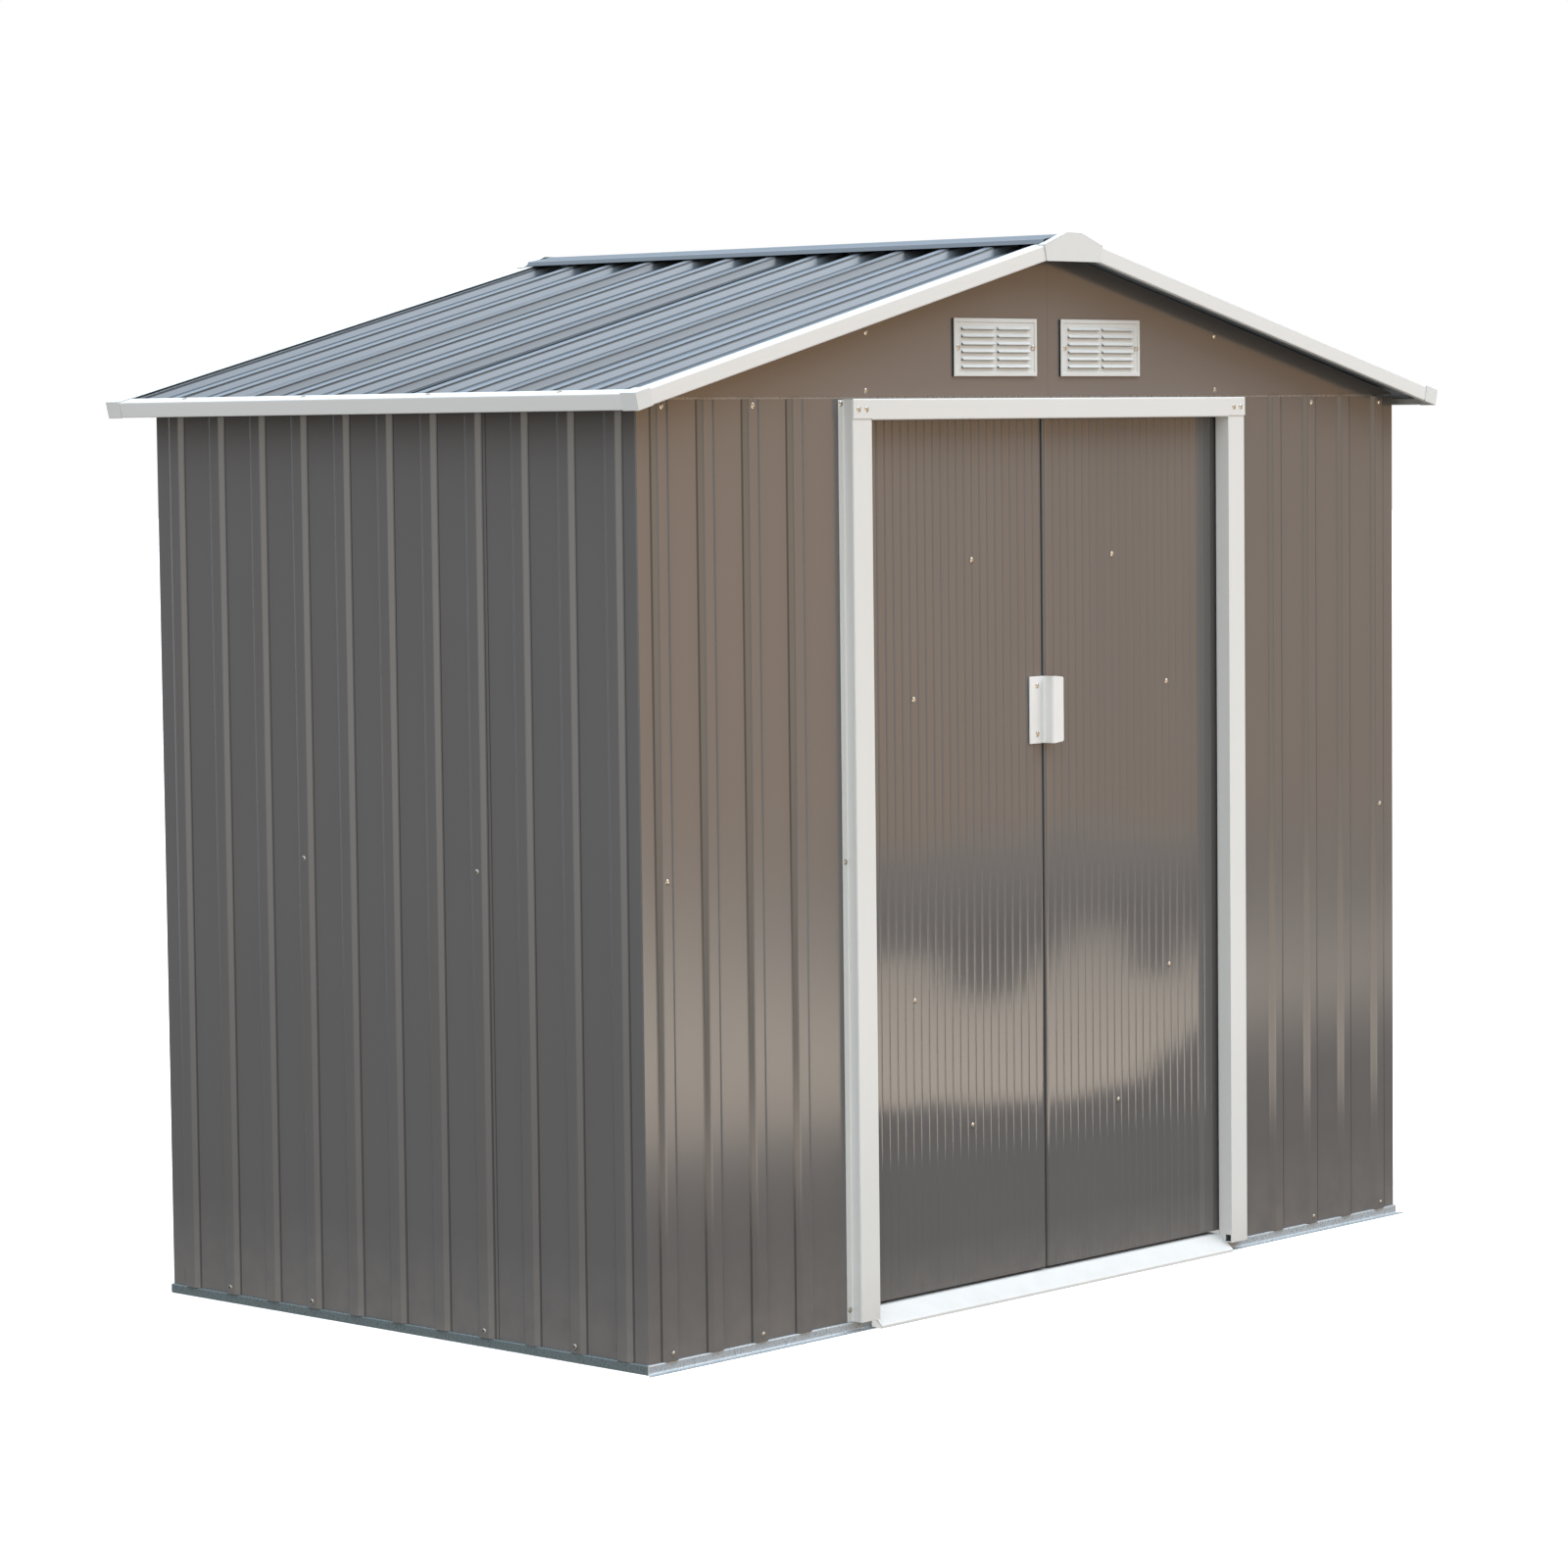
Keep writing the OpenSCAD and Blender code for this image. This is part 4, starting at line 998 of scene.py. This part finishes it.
# The strip glows in the shape of a cloud. From the camera's mirror image behind the doors, a point of the
# floor is seen through them at door_x and door_z, and the cloud is laid out there: its top swings and is
# ragged, and its foot rises at the right. Past the cloud the strip fades into the sky.
strip_low, strip_high, strip_z = (-2.0, -6.5), (7.5, -2.0), 0.001
strip_colour = (1.0, 0.84, 0.68, 1)
cloud_turn, cloud_phase, cloud_swing = 13.1, 0.26, 0.055
top_ragged, foot_ragged = 0.22, 0.06
top_soft, foot_soft = 0.015, 0.010
glow_material, tree = new_material("glow_strip")
spot = node(tree, "ShaderNodeTexCoord").outputs["Object"]
spot_parts = node(tree, "ShaderNodeSeparateXYZ", {0: spot}).outputs
mirror_y = 2 * door_low.y - camera_place[1]
share = worked(tree, "DIVIDE", mirror_y - door_low.y, worked(tree, "SUBTRACT", mirror_y, spot_parts["Y"]))
aside = worked(tree, "SUBTRACT", spot_parts["X"], camera_place[0])
door_x = worked(tree, "MULTIPLY_ADD", aside, share, camera_place[0])
door_z = worked(tree, "MULTIPLY_ADD", share, -camera_place[2], camera_place[2])
wander = noise(tree, node(tree, "ShaderNodeCombineXYZ", {"X": door_x}).outputs["Vector"], 9.0, 3.0)
swing = worked(tree, "SINE", worked(tree, "MULTIPLY_ADD", door_x, cloud_turn, cloud_phase))
top_level = ramped(tree, door_x, -0.75, -0.45, 0.66, 0.46)
ragged_top = worked(tree, "MULTIPLY_ADD", wander, top_ragged, top_level)
cloud_top = worked(tree, "MULTIPLY_ADD", swing, cloud_swing, ragged_top)
foot_level = worked(tree, "ADD", ramped(tree, door_x, -0.45, 0.20, 0.315, 0.285),
                    ramped(tree, door_x, 0.22, 0.44, 0.0, 0.09))
cloud_foot = worked(tree, "MULTIPLY_ADD", wander, foot_ragged, foot_level)
cloud = worked(tree, "MULTIPLY",
               ramped(tree, worked(tree, "SUBTRACT", cloud_top, door_z), 0.0, top_soft),
               ramped(tree, worked(tree, "SUBTRACT", door_z, cloud_foot), 0.0, foot_soft))
cloud_glow = worked(tree, "MULTIPLY", cloud, ramped(tree, spot_parts["X"], 2.0, 4.4, 4.4, 2.6))
glow_strength = worked(tree, "MAXIMUM", cloud_glow, ramped(tree, door_z, 0.62, 0.79, 0.1, 1.1))
glow = node(tree, "ShaderNodeEmission", {"Color": strip_colour, "Strength": glow_strength})
node(tree, "ShaderNodeOutputMaterial", {"Surface": glow.outputs["Emission"]})
glow_material.cycles.emission_sampling = "NONE"
strip = flat_stage("glow_strip", strip_low, strip_high, strip_z, glow_material)
strip.visible_camera = strip.visible_diffuse = strip.visible_shadow = False

world = bpy.data.worlds.new("soft_sky")
world.use_nodes = True
tree = world.node_tree
tree.nodes.clear()
ray = node(tree, "ShaderNodeTexCoord").outputs["Generated"]
ray_parts = node(tree, "ShaderNodeSeparateXYZ", {0: ray}).outputs


def lobe(direction, low, high):
    """Mask over the sky: the ray's dot product with a direction, taken from low to high as 0 to 1."""
    near = node(tree, "ShaderNodeVectorMath", {0: ray, 1: direction}, operation="DOT_PRODUCT")
    return ramped(tree, near.outputs["Value"], low, high)


# The sky's colour by the ray's height, from straight down at 0 through level at 0.5 to straight up at 1.
level = ramped(tree, ray_parts["Z"], -1.0, 1.0)
sky = node(tree, "ShaderNodeValToRGB", {"Fac": level})
sky_stops = [(0.34, (0.48, 0.47, 0.45, 1)), (0.40, (0.20, 0.20, 0.21, 1)), (0.435, (0.14, 0.14, 0.15, 1)),
             (0.453, (0.98, 1.00, 1.04, 1)), (0.53, (1.02, 1.04, 1.08, 1)), (0.57, (0.92, 1.00, 1.08, 1)),
             (0.62, (0.86, 1.06, 1.26, 1)), (0.75, (1.02, 1.22, 1.46, 1)), (1.0, (1.80, 1.95, 2.10, 1))]
for height, hue in sky_stops[1:-1]:
    sky.color_ramp.elements.new(height)
for stop, (height, hue) in zip(sky.color_ramp.elements, sky_stops):
    stop.position, stop.color = height, hue

# Each mask and the tint that the sky takes in it, the later ones over the earlier ones: dim in front, lighter
# high on the left, warm where the front's flats and its ribs' flanks look, light on the open left side, dark
# where the left wall looks, dark low and light high behind, and dark overhead.
flats_way, flanks_way, behind_way = (0.735, -0.678, 0), (-0.481, -0.877, 0), (0.707, 0.707, 0)
above_ground = ramped(tree, level, 0.435, 0.455)
low_behind = worked(tree, "MULTIPLY", lobe(behind_way, 0.75, 0.92), ramped(tree, level, 0.69, 0.66))
high_behind = worked(tree, "MULTIPLY", lobe(behind_way, 0.55, 0.8), ramped(tree, level, 0.685, 0.725))
sky_tints = [(lobe((0.3, -0.954, 0), 0.2, 0.8), (0.5, 0.5, 0.5, 1)),
             (lobe((-0.9, 0.1, 0.42), 0.6, 0.9), (1.38, 1.28, 1.22, 1)),
             (worked(tree, "MULTIPLY", lobe(flats_way, 0.93, 0.975), above_ground), (2.15, 1.25, 0.62, 1)),
             (worked(tree, "MULTIPLY", lobe(flanks_way, 0.95, 0.985), above_ground), (2.1, 1.4, 0.7, 1)),
             (lobe((-0.88, -0.475, 0), 0.92, 0.985), (1.8, 1.7, 1.5, 1)),
             (lobe(flats_way, -0.75, -0.95), (0.12, 0.11, 0.11, 1)),
             (low_behind, (0.22, 0.22, 0.22, 1)),
             (high_behind, (1.6, 1.6, 1.6, 1)),
             (lobe((0.5, 0.1, 0.86), 0.87, 0.96), (0.15, 0.15, 0.15, 1))]
tint = (1, 1, 1, 1)
for patch, hue in sky_tints:
    tint = colour_mix(tree, patch, tint, hue)
shaded_sky = node(tree, "ShaderNodeVectorMath", {0: sky.outputs["Color"], 1: tint}, operation="MULTIPLY")
right_fall = ramped(tree, ray_parts["X"], 0.705, 0.80, 1.15, 0.50)
lit_sky = node(tree, "ShaderNodeBackground", {"Color": shaded_sky.outputs["Vector"], "Strength": right_fall})
white_back = node(tree, "ShaderNodeBackground", {"Color": (1, 1, 1, 1), "Strength": 1.0})
seen = node(tree, "ShaderNodeLightPath").outputs["Is Camera Ray"]
both = node(tree, "ShaderNodeMixShader",
            {0: seen, 1: lit_sky.outputs["Background"], 2: white_back.outputs["Background"]})
node(tree, "ShaderNodeOutputWorld", {"Surface": both.outputs["Shader"]})
bpy.context.scene.world = world

key_place, key_aim = (6.5, -5.6, 9.5), (0.0, 0.0, 1.0)
key = bpy.data.lights.new("soft_key", "AREA")
key.shape, key.size, key.energy = "SQUARE", 8.0, 1100.0
key.color = (0.93, 0.98, 1.04)
key_light = bpy.data.objects.new("soft_key", key)
key_light.location = key_place
key_light.rotation_euler = (Vector(key_aim) - Vector(key_place)).to_track_quat("-Z", "Y").to_euler()
bpy.context.scene.collection.objects.link(key_light)

camera = bpy.data.cameras.new("camera")
camera.sensor_width = sensor
camera.lens = sensor * focal_pixels / frame_pixels
camera.clip_end = camera_reach
view = bpy.data.objects.new("camera", camera)
bpy.context.scene.collection.objects.link(view)
across = np.array([math.cos(camera_turn), math.sin(camera_turn), 0])
toward = np.array([math.sin(camera_turn) * math.cos(camera_fall),
                   -math.cos(camera_turn) * math.cos(camera_fall), math.sin(camera_fall)])
above = np.cross(toward, across)
turned = across * math.cos(camera_roll) + above * math.sin(camera_roll)
pose = np.eye(4)
pose[:3, :3] = np.column_stack([turned, np.cross(toward, turned), toward])
pose[:3, 3] = camera_place
view.matrix_world = Matrix(pose.tolist())
bpy.context.scene.camera = view
bpy.context.scene.view_settings.view_transform = "Standard"
